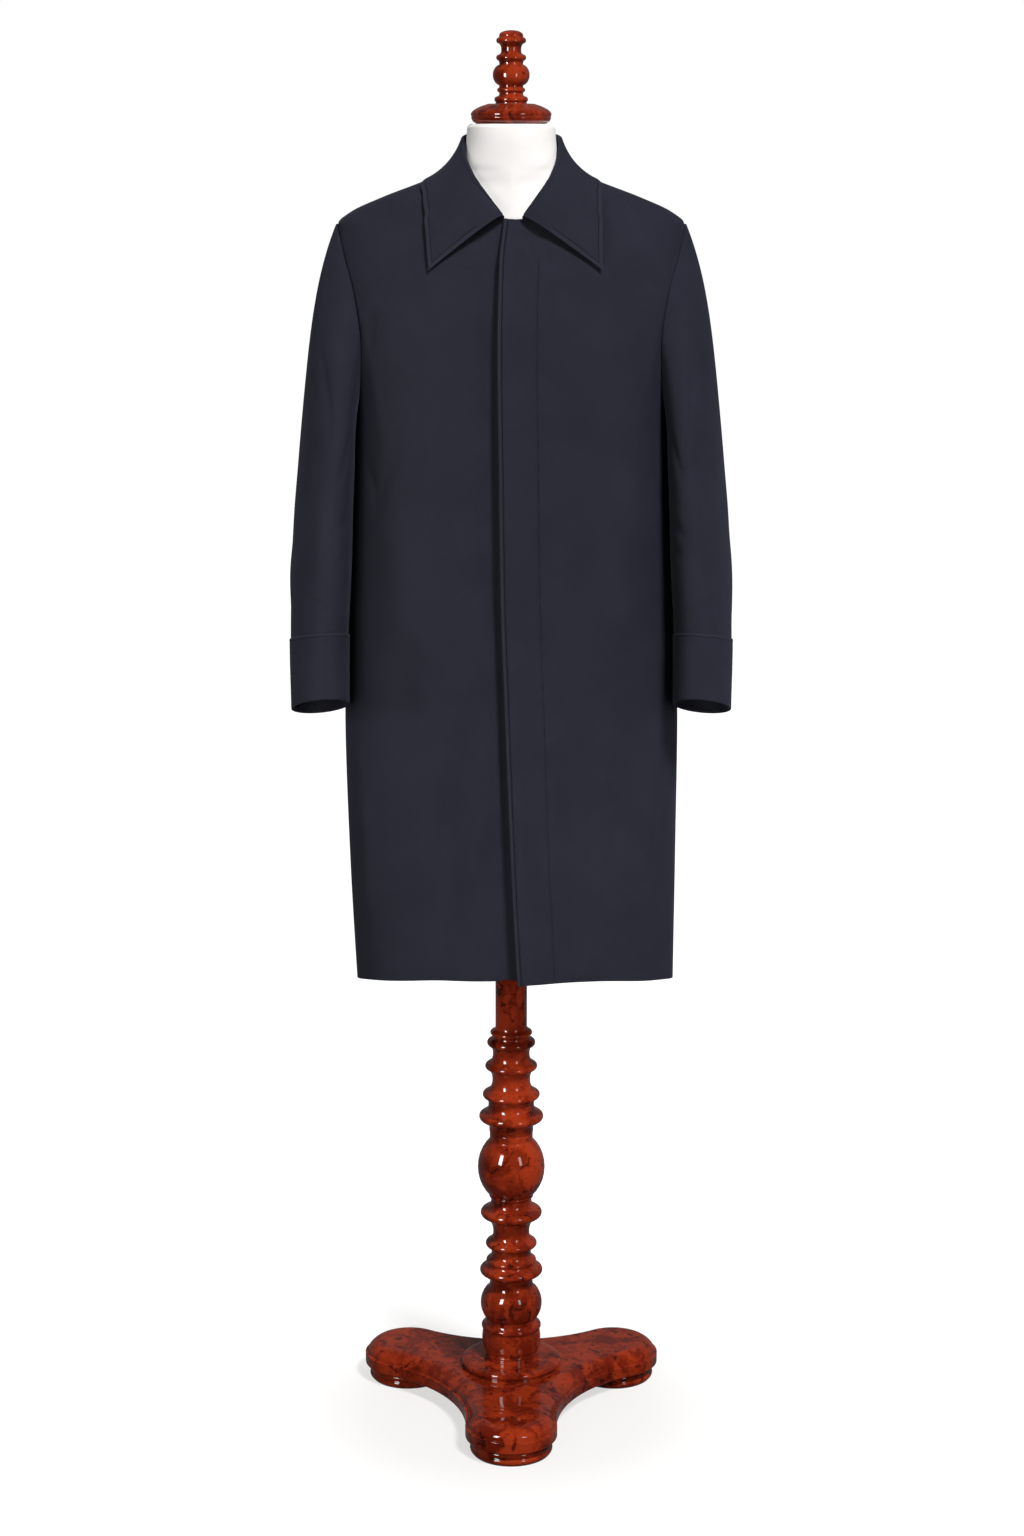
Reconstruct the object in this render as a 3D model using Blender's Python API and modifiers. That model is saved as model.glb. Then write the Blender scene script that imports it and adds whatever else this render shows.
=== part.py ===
"""A mackintosh hanging on a limbless dress form, on a turned stand with a three-lobed base.

Metres, +Z up, the front toward -Y, the wearer's left toward +X.  The cloth is a wall between two sheets:
an outer sheet from a surface function of two parameters, and the same sheet moved in along its normals.
"""
import math

import bmesh
import bpy
import numpy as np


def table(names, *rows):
    """A short table as named columns."""
    return dict(zip(names.split(), np.array(rows, dtype=float).T))


# Cloth
WALL = 0.0020  # thickness of the raincoat cloth
SEAM = 0.0003  # air between two pieces at a seam
FULLNESS = 2.3  # power of the body's sections: 2 is an ellipse, more is squarer

# How finely the walls are divided
SKIRT_ROWS = 10  # hem to underarm
FRONT_CHEST_ROWS = 9  # underarm to shoulder tip
BACK_CHEST_ROWS = 8
BACK_SHOULDER_ROWS = 5  # shoulder tip to the neckline at centre back
FRONT_COLUMNS = 13
BACK_COLUMNS = 9  # of each half
SLEEVE_HEAD_ROWS = 9
ARM_ROWS = 9
CUFF_ROWS = 4
SLEEVE_COLUMNS = 18
STAND_ROWS = 5
FALL_ROWS = 8
ROLL_BENDS = np.radians([45.0, 90.0, 135.0, 180.0])
FORM_COLUMNS = 20
FORM_ROWS_BETWEEN = 2
MERGE = 2e-5  # points closer than this are one
STEP = 2e-3  # small step along a surface, to read its direction

# Heights of the coat above the floor
HEM = 0.583
HIP = 1.000  # folds and the hem's swing fade out here
UNDERARM = 1.300
SHOULDER_TIP = 1.545
NECK_FRONT = 1.5515  # neckline at centre front
NECK_SIDE = 1.6120  # neckline at the shoulder seam
NECK_BACK = 1.5980  # neckline at centre back
NECK_HALF = 0.0730  # half width of the neckline
NECK_ANGLES = np.linspace(8.0, 88.0, 8)  # where the panels' rows meet it, degrees round its quarter ellipse

# Sections of the hanging coat, a row for each height
BODY = table(
    "z half_width front back",
    (0.560, 0.2035, 0.1190, 0.1310),
    (0.750, 0.2085, 0.1210, 0.1300),
    (0.920, 0.2110, 0.1230, 0.1285),
    (1.080, 0.2040, 0.1250, 0.1260),
    (1.200, 0.1980, 0.1270, 0.1240),
    (1.300, 0.1950, 0.1280, 0.1230),
    (1.400, 0.2020, 0.1220, 0.1210),
    (1.480, 0.2110, 0.1080, 0.1130),
    (1.545, 0.2125, 0.0760, 0.0880),
    (1.5585, 0.1975, 0.0690, 0.0800),
    (1.577, 0.1570, 0.0590, 0.0710),
    (1.596, 0.1070, 0.0500, 0.0640),
    (1.612, 0.0725, 0.0440, 0.0600),
)

# Distance of the armhole seam from the centre line
ARMHOLE = table(
    "z front back",
    (1.300, 0.1950, 0.1950),
    (1.325, 0.1880, 0.1890),
    (1.360, 0.1840, 0.1870),
    (1.400, 0.1830, 0.1880),
    (1.459, 0.1900, 0.1950),
    (1.508, 0.2036, 0.2060),
    (1.545, 0.2125, 0.2125),
)

# Edge of the left front, which laps over: it swings from one side of the centre line to the other
FRONT_EDGE = table(
    "z x",
    (0.583, 0.0025),
    (0.750, -0.0020),
    (0.950, -0.0076),
    (1.100, -0.0126),
    (1.250, -0.0145),
    (1.400, -0.0160),
    (1.500, -0.0140),
    (1.5515, -0.0085),
)
UNDERLAP_EDGE = 0.045  # the right front runs on this far past the centre line
LAP = table("z out", (0.583, 0.0062), (1.30, 0.0062), (1.45, 0.0050), (1.56, 0.0030), (1.612, 0.0))
LAP_REACH = 0.115  # the left front lies back on the body line this far from its edge
LAP_FADE = 3.0  # the lap dies out toward the side, where the cosine of the turn falls below 1 / 3
UNDER_IN = 0.0012  # the right front is pressed in under the lap
UNDER_REACH = 0.060

HEM_LIFT = 0.028  # the hem's plane tips up to the front
HEM_SWAY = 0.005  # the skirt hangs a little to the wearer's left
LEFT_DROP = 0.004  # the left front's corner hangs lower

# Soft flutes of the skirt: where each starts and where it meets the hem, in degrees from centre front
FOLDS = table(
    "hem_turn top_turn top_z width out",
    (-50, -56, 0.98, 12, 0.0030),
    (-26, -13, 1.05, 9, -0.0040),
    (13, 11, 1.02, 9, -0.0032),
    (49, 55, 1.02, 12, 0.0042),
    (118, 112, 1.00, 14, 0.0040),
    (150, 154, 1.02, 12, -0.0045),
    (178, 180, 1.08, 12, 0.0042),
    (-146, -150, 1.00, 13, -0.0040),
    (-115, -110, 0.96, 14, 0.0035),
)
FOLD_GROWTH = 1.3  # power by which a flute deepens on its way down

# Sleeve below the arm: u is 0 at the armhole and 1 at the wrist; turn and tilt in degrees
SLEEVE = table(
    "u z x y half_x half_y turn tilt",
    (0.30, 1.2500, 0.2308, -0.0080, 0.0320, 0.0880, 14, 3),
    (0.45, 1.1850, 0.2351, -0.0130, 0.0338, 0.0890, 14, 6),
    (0.60, 1.1200, 0.2375, -0.0225, 0.0350, 0.0850, 14, 9),
    (0.80, 1.0300, 0.2400, -0.0405, 0.0346, 0.0740, 13, 13),
    (1.00, 0.9500, 0.2380, -0.0640, 0.0335, 0.0620, 12, 16),
)
SLEEVE_HEAD_END = SLEEVE["u"][0]
SLEEVE_END = 0.997  # the sleeve's end lies just inside the cuff
SLEEVE_GAP = 0.0004  # air between the head of the sleeve and the panels' armhole edge
HEAD_OUT = 0.23  # direction in which the head leaves the armhole: out from the body,
HEAD_OUT_TOP = 0.13  # more at the shoulder and less at the underarm,
HEAD_SPREAD = 0.25  # spreading to the front and the back,
HEAD_DOWN = 0.85  # and down
CUFF_START = 0.785  # share of the sleeve where the turn-back cuff begins
CUFF_GAP = 0.0005  # air between the sleeve and the cuff's lower part
CUFF_STAND_OFF = 0.0005  # the cuff's upper edge stands off the sleeve

# Collar, from centre back (0) over the shoulder (0.5) to the front end (1)
COLLAR = table(
    "along fold_x fold_y fold_z edge_turn edge_z edge_out",
    (0.00, 0.0000, 0.0640, 1.6530, 180, 1.5880, 0.0042),
    (0.25, 0.0440, 0.0480, 1.6510, 147, 1.5880, 0.0040),
    (0.50, 0.0572, 0.0040, 1.6450, 90, 1.5980, 0.0038),
    (0.62, 0.0560, -0.0240, 1.6270, 41, 1.5780, 0.0045),
    (0.75, 0.0470, -0.0490, 1.6030, 27, 1.5480, 0.0058),
    (0.87, 0.0300, -0.0690, 1.5780, 26.3, 1.5180, 0.0062),
    (1.00, 0.0120, -0.0790, 1.5570, 26.1, 1.4900, 0.0056),
)
COLLAR_WALL = 0.0018
STAND_SPRING = 0.4  # how far the stand keeps the panel's direction before it turns up
COLLAR_ROLL = 0.0022  # radius of the fold at its middle sheet
COLLAR_KNEE = 0.0022  # the fall dips this close to the neckline below the roll
COLLAR_RAISE = 0.0015  # the stand's lower edge clears the panels' edges
COLLAR_SWING = 1.7  # degrees that the points, too, sit toward the wearer's left
COLLAR_SHIFT = 0.0025  # both ends sit a little toward the wearer's left
COLLAR_END = 0.0120  # half distance of the collar's ends at the neckline

# Dress form: power is the section's squareness, low where the neck grows out of the shoulders
FORM = table(
    "z half_width front back power",
    (0.8000, 0.1420, 0.0930, 0.0950, 2.2),
    (0.8120, 0.1510, 0.1010, 0.1030, 2.2),
    (0.9000, 0.1600, 0.1080, 0.1100, 2.2),
    (1.0500, 0.1420, 0.0970, 0.0940, 2.2),
    (1.2000, 0.1560, 0.1040, 0.0980, 2.2),
    (1.3300, 0.1700, 0.1080, 0.1040, 2.2),
    (1.4300, 0.1760, 0.1030, 0.1020, 2.2),
    (1.5000, 0.1790, 0.0880, 0.0930, 2.2),
    (1.5350, 0.1760, 0.0720, 0.0800, 2.1),
    (1.5550, 0.1700, 0.0630, 0.0720, 1.9),
    (1.5740, 0.1560, 0.0580, 0.0640, 1.6),
    (1.5930, 0.1090, 0.0560, 0.0590, 1.35),
    (1.6080, 0.0730, 0.0555, 0.0570, 1.6),
    (1.6180, 0.0620, 0.0550, 0.0560, 1.9),
    (1.6400, 0.0555, 0.0550, 0.0550, 2.0),
    (1.6600, 0.0536, 0.0535, 0.0535, 2.0),
    (1.6640, 0.0500, 0.0500, 0.0500, 2.0),
)
FORM_DROP = 0.0031  # the form's shoulders lie this far below the coat's, which rests on them

# Turned pieces from the top down: radius at each crest and hollow.  A crest's fullness is above 1 for a
# ball and below 1 for a narrow bead
FINIAL = table(
    "z r full",
    (1.7720, 0.0125, 1.0),
    (1.7650, 0.0172, 1.2),
    (1.7535, 0.0120, 1.0),
    (1.7437, 0.0178, 0.8),
    (1.7366, 0.0140, 1.0),
    (1.7248, 0.0215, 1.4),
    (1.7129, 0.0150, 1.0),
    (1.7070, 0.0163, 1.0),
    (1.7015, 0.0152, 1.0),
    (1.6940, 0.0200, 1.0),
    (1.6885, 0.0185, 1.0),
)
FINIAL_TOP = 1.7755
CAP = table(
    "z r full",
    (1.6882, 0.0330, 1.0),
    (1.6862, 0.0400, 1.0),
    (1.6805, 0.0475, 1.0),
    (1.6755, 0.0492, 1.0),
    (1.6700, 0.0480, 1.0),
    (1.6643, 0.0400, 1.0),
)
SPINDLE = table(
    "z r full",
    (0.7997, 0.0203, 1.0),
    (0.5190, 0.0203, 1.0),
    (0.5121, 0.0271, 1.0),
    (0.5039, 0.0242, 1.0),
    (0.4958, 0.0312, 0.7),
    (0.4809, 0.0235, 1.0),
    (0.4645, 0.0332, 0.7),
    (0.4455, 0.0238, 1.0),
    (0.4250, 0.0365, 0.8),
    (0.4127, 0.0285, 1.0),
    (0.3962, 0.0421, 0.8),
    (0.3743, 0.0268, 1.0),
    (0.3260, 0.0433, 1.6),
    (0.2831, 0.0268, 1.0),
    (0.2636, 0.0401, 0.8),
    (0.2358, 0.0234, 1.0),
    (0.2204, 0.0327, 0.7),
    (0.2051, 0.0262, 1.0),
    (0.1840, 0.0401, 0.9),
    (0.1658, 0.0279, 1.0),
    (0.1377, 0.0399, 1.7),
    (0.1165, 0.0326, 1.0),
    (0.1052, 0.0389, 1.0),
    (0.0940, 0.0370, 1.0),
    (0.0700, 0.0355, 1.0),
    (0.0623, 0.0355, 1.0),
)
BASE_RING = table(
    "z r full",
    (0.0620, 0.0600, 1.0),
    (0.0600, 0.0640, 1.0),
    (0.0560, 0.0660, 1.0),
    (0.0520, 0.0660, 1.0),
    (0.0503, 0.0640, 1.0),
)
FOOT = table(
    "z r full",
    (0.0180, 0.0490, 1.0),
    (0.0160, 0.0520, 1.0),
    (0.0115, 0.0530, 1.0),
    (0.0095, 0.0512, 1.0),
    (0.0075, 0.0530, 1.0),
    (0.0025, 0.0525, 1.0),
    (0.0000, 0.0500, 1.0),
)

# Base board: three lobes on a circle, joined by hollow arcs
LOBE_CENTRE = 0.1605
LOBE_RADIUS = 0.0590
BASE_WAIST = 0.0970  # centre to the middle of a hollow arc
BASE_EDGE = table(
    "z inset",
    (0.0183, 0.0040),
    (0.0215, 0.0000),
    (0.0350, 0.0000),
    (0.0356, 0.0022),
    (0.0400, 0.0035),
    (0.0460, 0.0090),
    (0.0500, 0.0180),
)
LOBES = {"front": -90.0, "right": 30.0, "left": 150.0}  # degrees about the post, seen from the front

# The part's origin lies under the middle of its box, and the post stands a little behind it
POST_AXIS = (0.0, LOBE_CENTRE / 4, 0.0)

NAVY = (0.021, 0.023, 0.034)
OFF_WHITE = (0.86, 0.85, 0.82)
MAHOGANY = (0.19, 0.022, 0.008)


# Curves and surfaces


def read(rows, column, at, key="z"):
    """A column at any key: a cubic through the rows that doesn't overshoot them."""
    x, y = rows[key], rows[column]
    step = np.diff(x)
    slope = np.diff(y) / step
    product = slope[:-1] * slope[1:]
    total = np.where(product > 0, slope[:-1] + slope[1:], 1.0)
    inner = np.where(product > 0, 2 * product / total, 0.0)
    tangent = np.concatenate([slope[:1], inner, slope[-1:]])
    at = np.asarray(at, dtype=float)
    i = np.clip(np.searchsorted(x, at) - 1, 0, len(step) - 1)
    t = np.clip((at - x[i]) / step[i], 0.0, 1.0)
    rise = (1 + 2 * t) * (1 - t) ** 2 * y[i] + t**2 * (3 - 2 * t) * y[i + 1]
    return rise + step[i] * (t * (1 - t) ** 2 * tangent[i] - t**2 * (1 - t) * tangent[i + 1])


def ease(t):
    """0 to 1 with level ends."""
    t = np.clip(t, 0.0, 1.0)
    return t * t * (3 - 2 * t)


def signed_power(value, power):
    return np.sign(value) * np.abs(value) ** power


def unit(vectors):
    return vectors / np.maximum(np.linalg.norm(vectors, axis=-1, keepdims=True), 1e-12)


def hang(z):
    """1 at the hem, 0 at the hip and above."""
    return np.clip((HIP - z) / (HIP - HEM), 0.0, 1.0) ** 2


def flutes(turn, z):
    """How far the skirt's folds stand out: a bell curve across each, growing down to the hem."""
    degrees = np.degrees(turn)
    out = np.zeros(np.broadcast(turn, z).shape)
    for hem_turn, top_turn, top_z, width, depth in zip(*FOLDS.values()):
        grow = np.maximum((top_z - z) / (top_z - HEM), 0.0)
        across = degrees - (top_turn + (hem_turn - top_turn) * grow)
        across = (across + 180.0) % 360.0 - 180.0
        out = out + depth * grow**FOLD_GROWTH * np.exp(-((across / width) ** 2))
    return out


def body(turn, z, out=0.0):
    """The coat's surface: turn is 0 at centre front, +-pi/2 at the sides and pi at centre back."""
    sine, cosine = np.sin(turn), np.cos(turn)
    out = out + flutes(turn, z)
    depth = np.where(cosine > 0, read(BODY, "front", z), read(BODY, "back", z)) + out
    half = read(BODY, "half_width", z) + out
    x = half * signed_power(sine, 2 / FULLNESS) + HEM_SWAY * hang(z)
    y = -depth * signed_power(cosine, 2 / FULLNESS)
    lift = HEM_LIFT * hang(z) * np.maximum(cosine, 0.0) ** (2 / FULLNESS)
    return np.stack(np.broadcast_arrays(x, y, z + lift), axis=-1)


def turn_at(x, z):
    """The turn at which the front of the body is x from the centre line."""
    share = np.clip(np.abs(x) / read(BODY, "half_width", z), 0.0, 1.0)
    return np.sign(x) * np.arcsin(share ** (FULLNESS / 2))


def seam_turn(z):
    """The turn of a side or shoulder seam on a front panel: half the seam's air short of the side."""
    return np.arccos((SEAM / 2 / read(BODY, "front", z)) ** (FULLNESS / 2))


def front(side, turn, z):
    """A front: side +1 is the left front, which laps over, and -1 the right front below it."""
    x = read(BODY, "half_width", z) * signed_power(np.sin(turn), 2 / FULLNESS)
    ahead = ease(LAP_FADE * np.cos(turn))
    if side > 0:
        near_edge = ahead * (1 - ease((x - read(FRONT_EDGE, "x", z)) / LAP_REACH))
        point = body(turn, z, read(LAP, "out", z) * near_edge)
        point[..., 2] -= LEFT_DROP * hang(z) * near_edge
        return point
    return body(turn, z, -UNDER_IN * ahead * ease((x + UNDER_REACH) / UNDER_REACH))


def normals(surface, a, b, step_a=STEP, step_b=STEP / 5):
    """Unit normals of a surface function, across its first parameter and up its second."""
    along_a = surface(a + step_a, b) - surface(a - step_a, b)
    along_b = surface(a, b + step_b) - surface(a, b - step_b)
    return unit(np.cross(along_a, along_b))


def armhole_end(z, column):
    """Where a panel's row ends: at the side seam, the armhole or the shoulder seam."""
    end = seam_turn(z)
    in_armhole = (z > UNDERARM) & (z < SHOULDER_TIP)
    return np.where(in_armhole, np.minimum(turn_at(read(ARMHOLE, column, z), z), end), end)


def neck_rows(low):
    """Heights up the neckline, and the half width there: a quarter of an ellipse."""
    angle = np.radians(NECK_ANGLES)
    return NECK_SIDE - (NECK_SIDE - low) * np.cos(angle), NECK_HALF * np.sin(angle)


def front_grid(side):
    """Turns and heights of a front's rows, from hem to neck point."""
    skirt = np.linspace(HEM, UNDERARM, SKIRT_ROWS)
    chest = np.linspace(UNDERARM, SHOULDER_TIP, FRONT_CHEST_ROWS)[1:]
    neck_z, neck_x = neck_rows(NECK_FRONT)
    below = np.concatenate([skirt, chest, [NECK_FRONT]])
    edge = read(FRONT_EDGE, "x", below) if side > 0 else np.full(below.shape, -UNDERLAP_EDGE)
    z = np.concatenate([below, neck_z])
    start = turn_at(np.concatenate([edge, neck_x]), z)
    end = armhole_end(z, "front")
    share = np.linspace(0.0, 1.0, FRONT_COLUMNS + 1)
    turn = start[:, None] + (end - start)[:, None] * share
    return side * turn, np.repeat(z[:, None], FRONT_COLUMNS + 1, axis=1)


def back_grid():
    """Turns and heights of half the back's rows, from centre back to the left side."""
    skirt = np.linspace(HEM, UNDERARM, SKIRT_ROWS)
    chest = np.linspace(UNDERARM, SHOULDER_TIP, BACK_CHEST_ROWS)[1:]
    shoulder = np.linspace(SHOULDER_TIP, NECK_BACK, BACK_SHOULDER_ROWS)[1:]
    neck_z, neck_x = neck_rows(NECK_BACK)
    below = np.concatenate([skirt, chest, shoulder])
    z = np.concatenate([below, neck_z])
    start = np.pi - turn_at(np.concatenate([np.zeros_like(below), neck_x]), z)
    end = np.pi - armhole_end(z, "back")
    share = np.linspace(0.0, 1.0, BACK_COLUMNS + 1)
    turn = start[:, None] + (end - start)[:, None] * share
    return turn, np.repeat(z[:, None], BACK_COLUMNS + 1, axis=1)


def armhole_loop(angle):
    """The armhole of the left side: angle 0 is the shoulder tip, pi/2 the front, pi the underarm."""
    z = UNDERARM + (SHOULDER_TIP - UNDERARM) * (1 + np.cos(angle)) / 2
    in_front = np.sin(angle) >= 0
    x = np.where(in_front, read(ARMHOLE, "front", z), read(ARMHOLE, "back", z))
    turn = np.where(in_front, turn_at(x, z), np.pi - turn_at(x, z))
    point = body(turn, z)
    point[..., 0] += SLEEVE_GAP + WALL * np.maximum(np.cos(angle), 0.0)
    return point


def sleeve_ring(angle, u):
    """A section of the sleeve below the arm: an ellipse, turned about the post and tilted up in front."""
    turn, tilt = (np.radians(read(SLEEVE, name, u, "u")) for name in ("turn", "tilt"))
    wide = read(SLEEVE, "half_x", u, "u") * np.cos(angle)
    deep = read(SLEEVE, "half_y", u, "u") * np.sin(angle)
    x = read(SLEEVE, "x", u, "u") + wide * np.cos(turn) - deep * np.sin(turn) * np.cos(tilt)
    y = read(SLEEVE, "y", u, "u") - wide * np.sin(turn) - deep * np.cos(turn) * np.cos(tilt)
    z = read(SLEEVE, "z", u, "u") + deep * np.sin(tilt)
    return np.stack(np.broadcast_arrays(x, y, z), axis=-1)


def sleeve(angle, u):
    """The left sleeve: from the armhole loop along Hermite curves to the arm's sections, then down."""
    angle, u = np.broadcast_arrays(np.asarray(angle, float), np.asarray(u, float))
    t = np.clip(u / SLEEVE_HEAD_END, 0.0, 1.0)[..., None]
    top = armhole_loop(angle)
    upper_arm = sleeve_ring(angle, np.full_like(u, SLEEVE_HEAD_END))
    just_below = sleeve_ring(angle, np.full_like(u, SLEEVE_HEAD_END + STEP))
    length = np.linalg.norm(upper_arm - top, axis=-1, keepdims=True)
    outward = HEAD_OUT + HEAD_OUT_TOP * np.cos(angle)
    backward = -HEAD_SPREAD * np.sin(angle)
    leave = length * unit(np.stack([outward, backward, np.full_like(outward, -HEAD_DOWN)], axis=-1))
    arrive = length * unit(just_below - upper_arm)
    head = (1 + 2 * t) * (1 - t) ** 2 * top + t**2 * (3 - 2 * t) * upper_arm
    head = head + t * (1 - t) ** 2 * leave - t**2 * (1 - t) * arrive
    return np.where((u > SLEEVE_HEAD_END)[..., None], sleeve_ring(angle, u), head)


def collar_stations(side):
    """The collar's columns, where the panels' rows meet the neckline: shares from back to front end."""
    end = np.degrees(np.arcsin((COLLAR_END + side * COLLAR_SHIFT) / NECK_HALF))
    front_angles = np.append(NECK_ANGLES[:0:-1], end)
    angle = np.concatenate([[0.0], NECK_ANGLES, front_angles])
    behind = np.arange(len(angle)) <= len(NECK_ANGLES)
    along = np.where(behind, angle / 180.0, 0.5 + 0.5 * (90.0 - angle) / (90.0 - end))
    return along, np.radians(angle), behind


def neckline(side, angle, behind):
    """The neckline's middle sheet on one side, and the directions up the cloth and out of it."""
    z = NECK_SIDE - (NECK_SIDE - np.where(behind, NECK_BACK, NECK_FRONT)) * np.cos(angle)
    turn = turn_at(NECK_HALF * np.sin(angle), z)
    turn = side * np.where(behind, np.pi - turn, turn)
    point = front(side, turn, z)
    out = normals(lambda a, b: front(side, a, b), turn, z)
    up = unit(point - front(side, turn, z - STEP))
    return point - out * WALL / 2 + up * COLLAR_RAISE, up, out


def collar_half(side):
    """Rows of the collar's middle sheet from the neckline up the stand, over the roll and down the fall."""
    along, angle, behind = collar_stations(side)
    base, up, out = neckline(side, angle, behind)
    fold = np.stack([read(COLLAR, name, along, "along") for name in ("fold_x", "fold_y", "fold_z")], axis=-1)
    fold[:, 0] = side * fold[:, 0] + COLLAR_SHIFT * along**2
    tangent = unit(np.gradient(fold, axis=0))
    away = unit(np.cross(tangent, [0.0, 0.0, 1.0])) * -side
    over = unit(np.cross(away, tangent)) * -side
    rise = STAND_SPRING * np.linalg.norm(fold - base, axis=-1, keepdims=True)
    rows = []
    for t in np.linspace(0.0, 1.0, STAND_ROWS):
        stand = (1 + 2 * t) * (1 - t) ** 2 * base + t**2 * (3 - 2 * t) * fold
        rows.append(stand + rise * (t * (1 - t) ** 2 * up - t**2 * (1 - t) * over))
    for bend in ROLL_BENDS:
        rows.append(fold + COLLAR_ROLL * ((1 - np.cos(bend)) * away + np.sin(bend) * over))
    edge_turn = np.radians(side * read(COLLAR, "edge_turn", along, "along") + COLLAR_SWING * along**2)
    edge_z = read(COLLAR, "edge_z", along, "along")
    edge_out = normals(lambda a, b: front(side, a, b), edge_turn, edge_z)
    stand_off = read(COLLAR, "edge_out", along, "along")[:, None]
    edge = front(side, edge_turn, edge_z) + edge_out * stand_off
    knee = base + out * (COLLAR_KNEE + WALL / 2)
    roll_end = rows[-1]
    for t in np.linspace(0.0, 1.0, FALL_ROWS)[1:]:
        rows.append((1 - t) ** 2 * roll_end + 2 * t * (1 - t) * knee + t**2 * edge)
    return np.array(rows)


# Meshes


def material(name, colour, roughness, coat=0.0):
    finish = bpy.data.materials.new(name)
    finish.use_nodes = True
    shader = finish.node_tree.nodes["Principled BSDF"]
    shader.inputs["Base Color"].default_value = (*colour, 1.0)
    shader.inputs["Roughness"].default_value = roughness
    shader.inputs["Metallic"].default_value = 0.0
    shader.inputs["Coat Weight"].default_value = coat
    return finish


def add_object(name, mesh, finish):
    obj = bpy.data.objects.new(name, mesh)
    mesh.materials.append(finish)
    mesh.shade_smooth()
    parts.objects.link(obj)
    obj.parent = root
    return obj


def grid_faces(rows, columns, wrap):
    """Corner numbers of the cells of a grid of points."""
    i, j = np.meshgrid(np.arange(rows - 1), np.arange(columns if wrap else columns - 1), indexing="ij")
    k = (j + 1) % columns
    cells = [i * columns + j, i * columns + k, (i + 1) * columns + k, (i + 1) * columns + j]
    return np.stack(cells, axis=-1).reshape(-1, 4)


def rim_faces(loop, count, wrap):
    """Cells that join an edge of the outer sheet to the same edge of the inner sheet."""
    following = np.roll(loop, -1) if wrap else loop[1:]
    start = loop if wrap else loop[:-1]
    return np.stack([start, following, following + count, start + count], axis=-1)


def cloth(name, outer, inner, wrap=False):
    """A closed wall of cloth between two sheets of the same grid; wrap closes it to a tube."""
    rows, columns = outer.shape[:2]
    count = rows * columns
    sheet = grid_faces(rows, columns, wrap)
    number = np.arange(count).reshape(rows, columns)
    edges = [number[0], number[-1]] if wrap else [number[0], number[-1], number[:, 0], number[:, -1]]
    rims = [rim_faces(edge, count, wrap) for edge in edges]
    faces = np.concatenate([sheet, sheet[:, ::-1] + count, *rims])
    points = np.concatenate([outer.reshape(-1, 3), inner.reshape(-1, 3)])
    return close_mesh(name, points, faces.tolist(), navy)


def close_mesh(name, points, faces, finish, smooth_angle=40.0):
    """A mesh from points and faces, doubles merged and all faces turned out."""
    mesh = bpy.data.meshes.new(name)
    mesh.from_pydata(points.tolist(), [], faces)
    shape = bmesh.new()
    shape.from_mesh(mesh)
    bmesh.ops.remove_doubles(shape, verts=shape.verts, dist=MERGE)
    bmesh.ops.recalc_face_normals(shape, faces=shape.faces)
    shape.to_mesh(mesh)
    shape.free()
    obj = add_object(name, mesh, finish)
    mesh.set_sharp_from_angle(angle=math.radians(smooth_angle))
    return obj


def loft(name, rings, finish):
    """A closed solid through rings of points, with flat ends."""
    rows, columns = rings.shape[:2]
    number = np.arange(rows * columns).reshape(rows, columns)
    faces = grid_faces(rows, columns, True).tolist() + [number[0].tolist(), number[-1].tolist()]
    return close_mesh(name, rings.reshape(-1, 3), faces, finish)


def turned(name, crests, finish, steps, per_run, place=(0.0, 0.0, 0.0), dome=None):
    """A turned piece: eased runs between crests and hollows, spun about its own upright axis."""
    z, r, full = crests["z"], crests["r"], crests["full"]
    profile = [(0.0, z[0] if dome is None else dome)]
    for k in range(len(z) - 1):
        for t in np.linspace(0.0, 1.0, per_run + 1)[:-1]:
            falls = ease(t ** full[k]) if r[k] > r[k + 1] else 1 - ease((1 - t) ** full[k + 1])
            profile.append((r[k] + (r[k + 1] - r[k]) * falls, z[k] + (z[k + 1] - z[k]) * t))
    profile += [(r[-1], z[-1]), (0.0, z[-1])]
    mesh = bpy.data.meshes.new(name)
    points = [(radius, 0.0, height) for radius, height in profile]
    mesh.from_pydata(points, [(k, k + 1) for k in range(len(points) - 1)], [])
    obj = add_object(name, mesh, finish)
    obj.location = place
    spin = obj.modifiers.new("spin", "SCREW")
    spin.axis = "Z"
    spin.angle = math.tau
    spin.steps = spin.render_steps = steps
    spin.use_merge_vertices = True
    spin.merge_threshold = MERGE
    spin.use_smooth_shade = True
    return obj


# Pieces of the coat


def make_fronts():
    for name, side in (("front_left", 1), ("front_right", -1)):
        turn, z = front_grid(side)
        outer = front(side, turn, z)
        out = normals(lambda a, b: front(side, a, b), turn, z)
        cloth(name, outer, outer - WALL * out)


def make_back():
    """Two halves of one wall, joined along centre back up to the neckline."""
    turn, z = back_grid()
    rows, columns = turn.shape
    count = rows * columns
    number = np.arange(count).reshape(rows, columns)
    neck_row = np.flatnonzero(z[:, 0] > NECK_BACK)[0] - 1
    sheet = grid_faces(rows, columns, False)
    edges = [number[0], number[-1], number[:, -1], number[neck_row:, 0]]
    rims = [rim_faces(edge, count, False) for edge in edges]
    half_faces = np.concatenate([sheet, sheet[:, ::-1] + count, *rims])
    points, faces = [], []
    for half, half_turn in enumerate((turn, 2 * np.pi - turn)):
        outer = body(half_turn, z)
        inner = outer - WALL * normals(body, half_turn, z)
        points += [outer.reshape(-1, 3), inner.reshape(-1, 3)]
        faces += (half_faces + half * 2 * count).tolist()
    close_mesh("back", np.concatenate(points), faces, navy)


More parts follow.
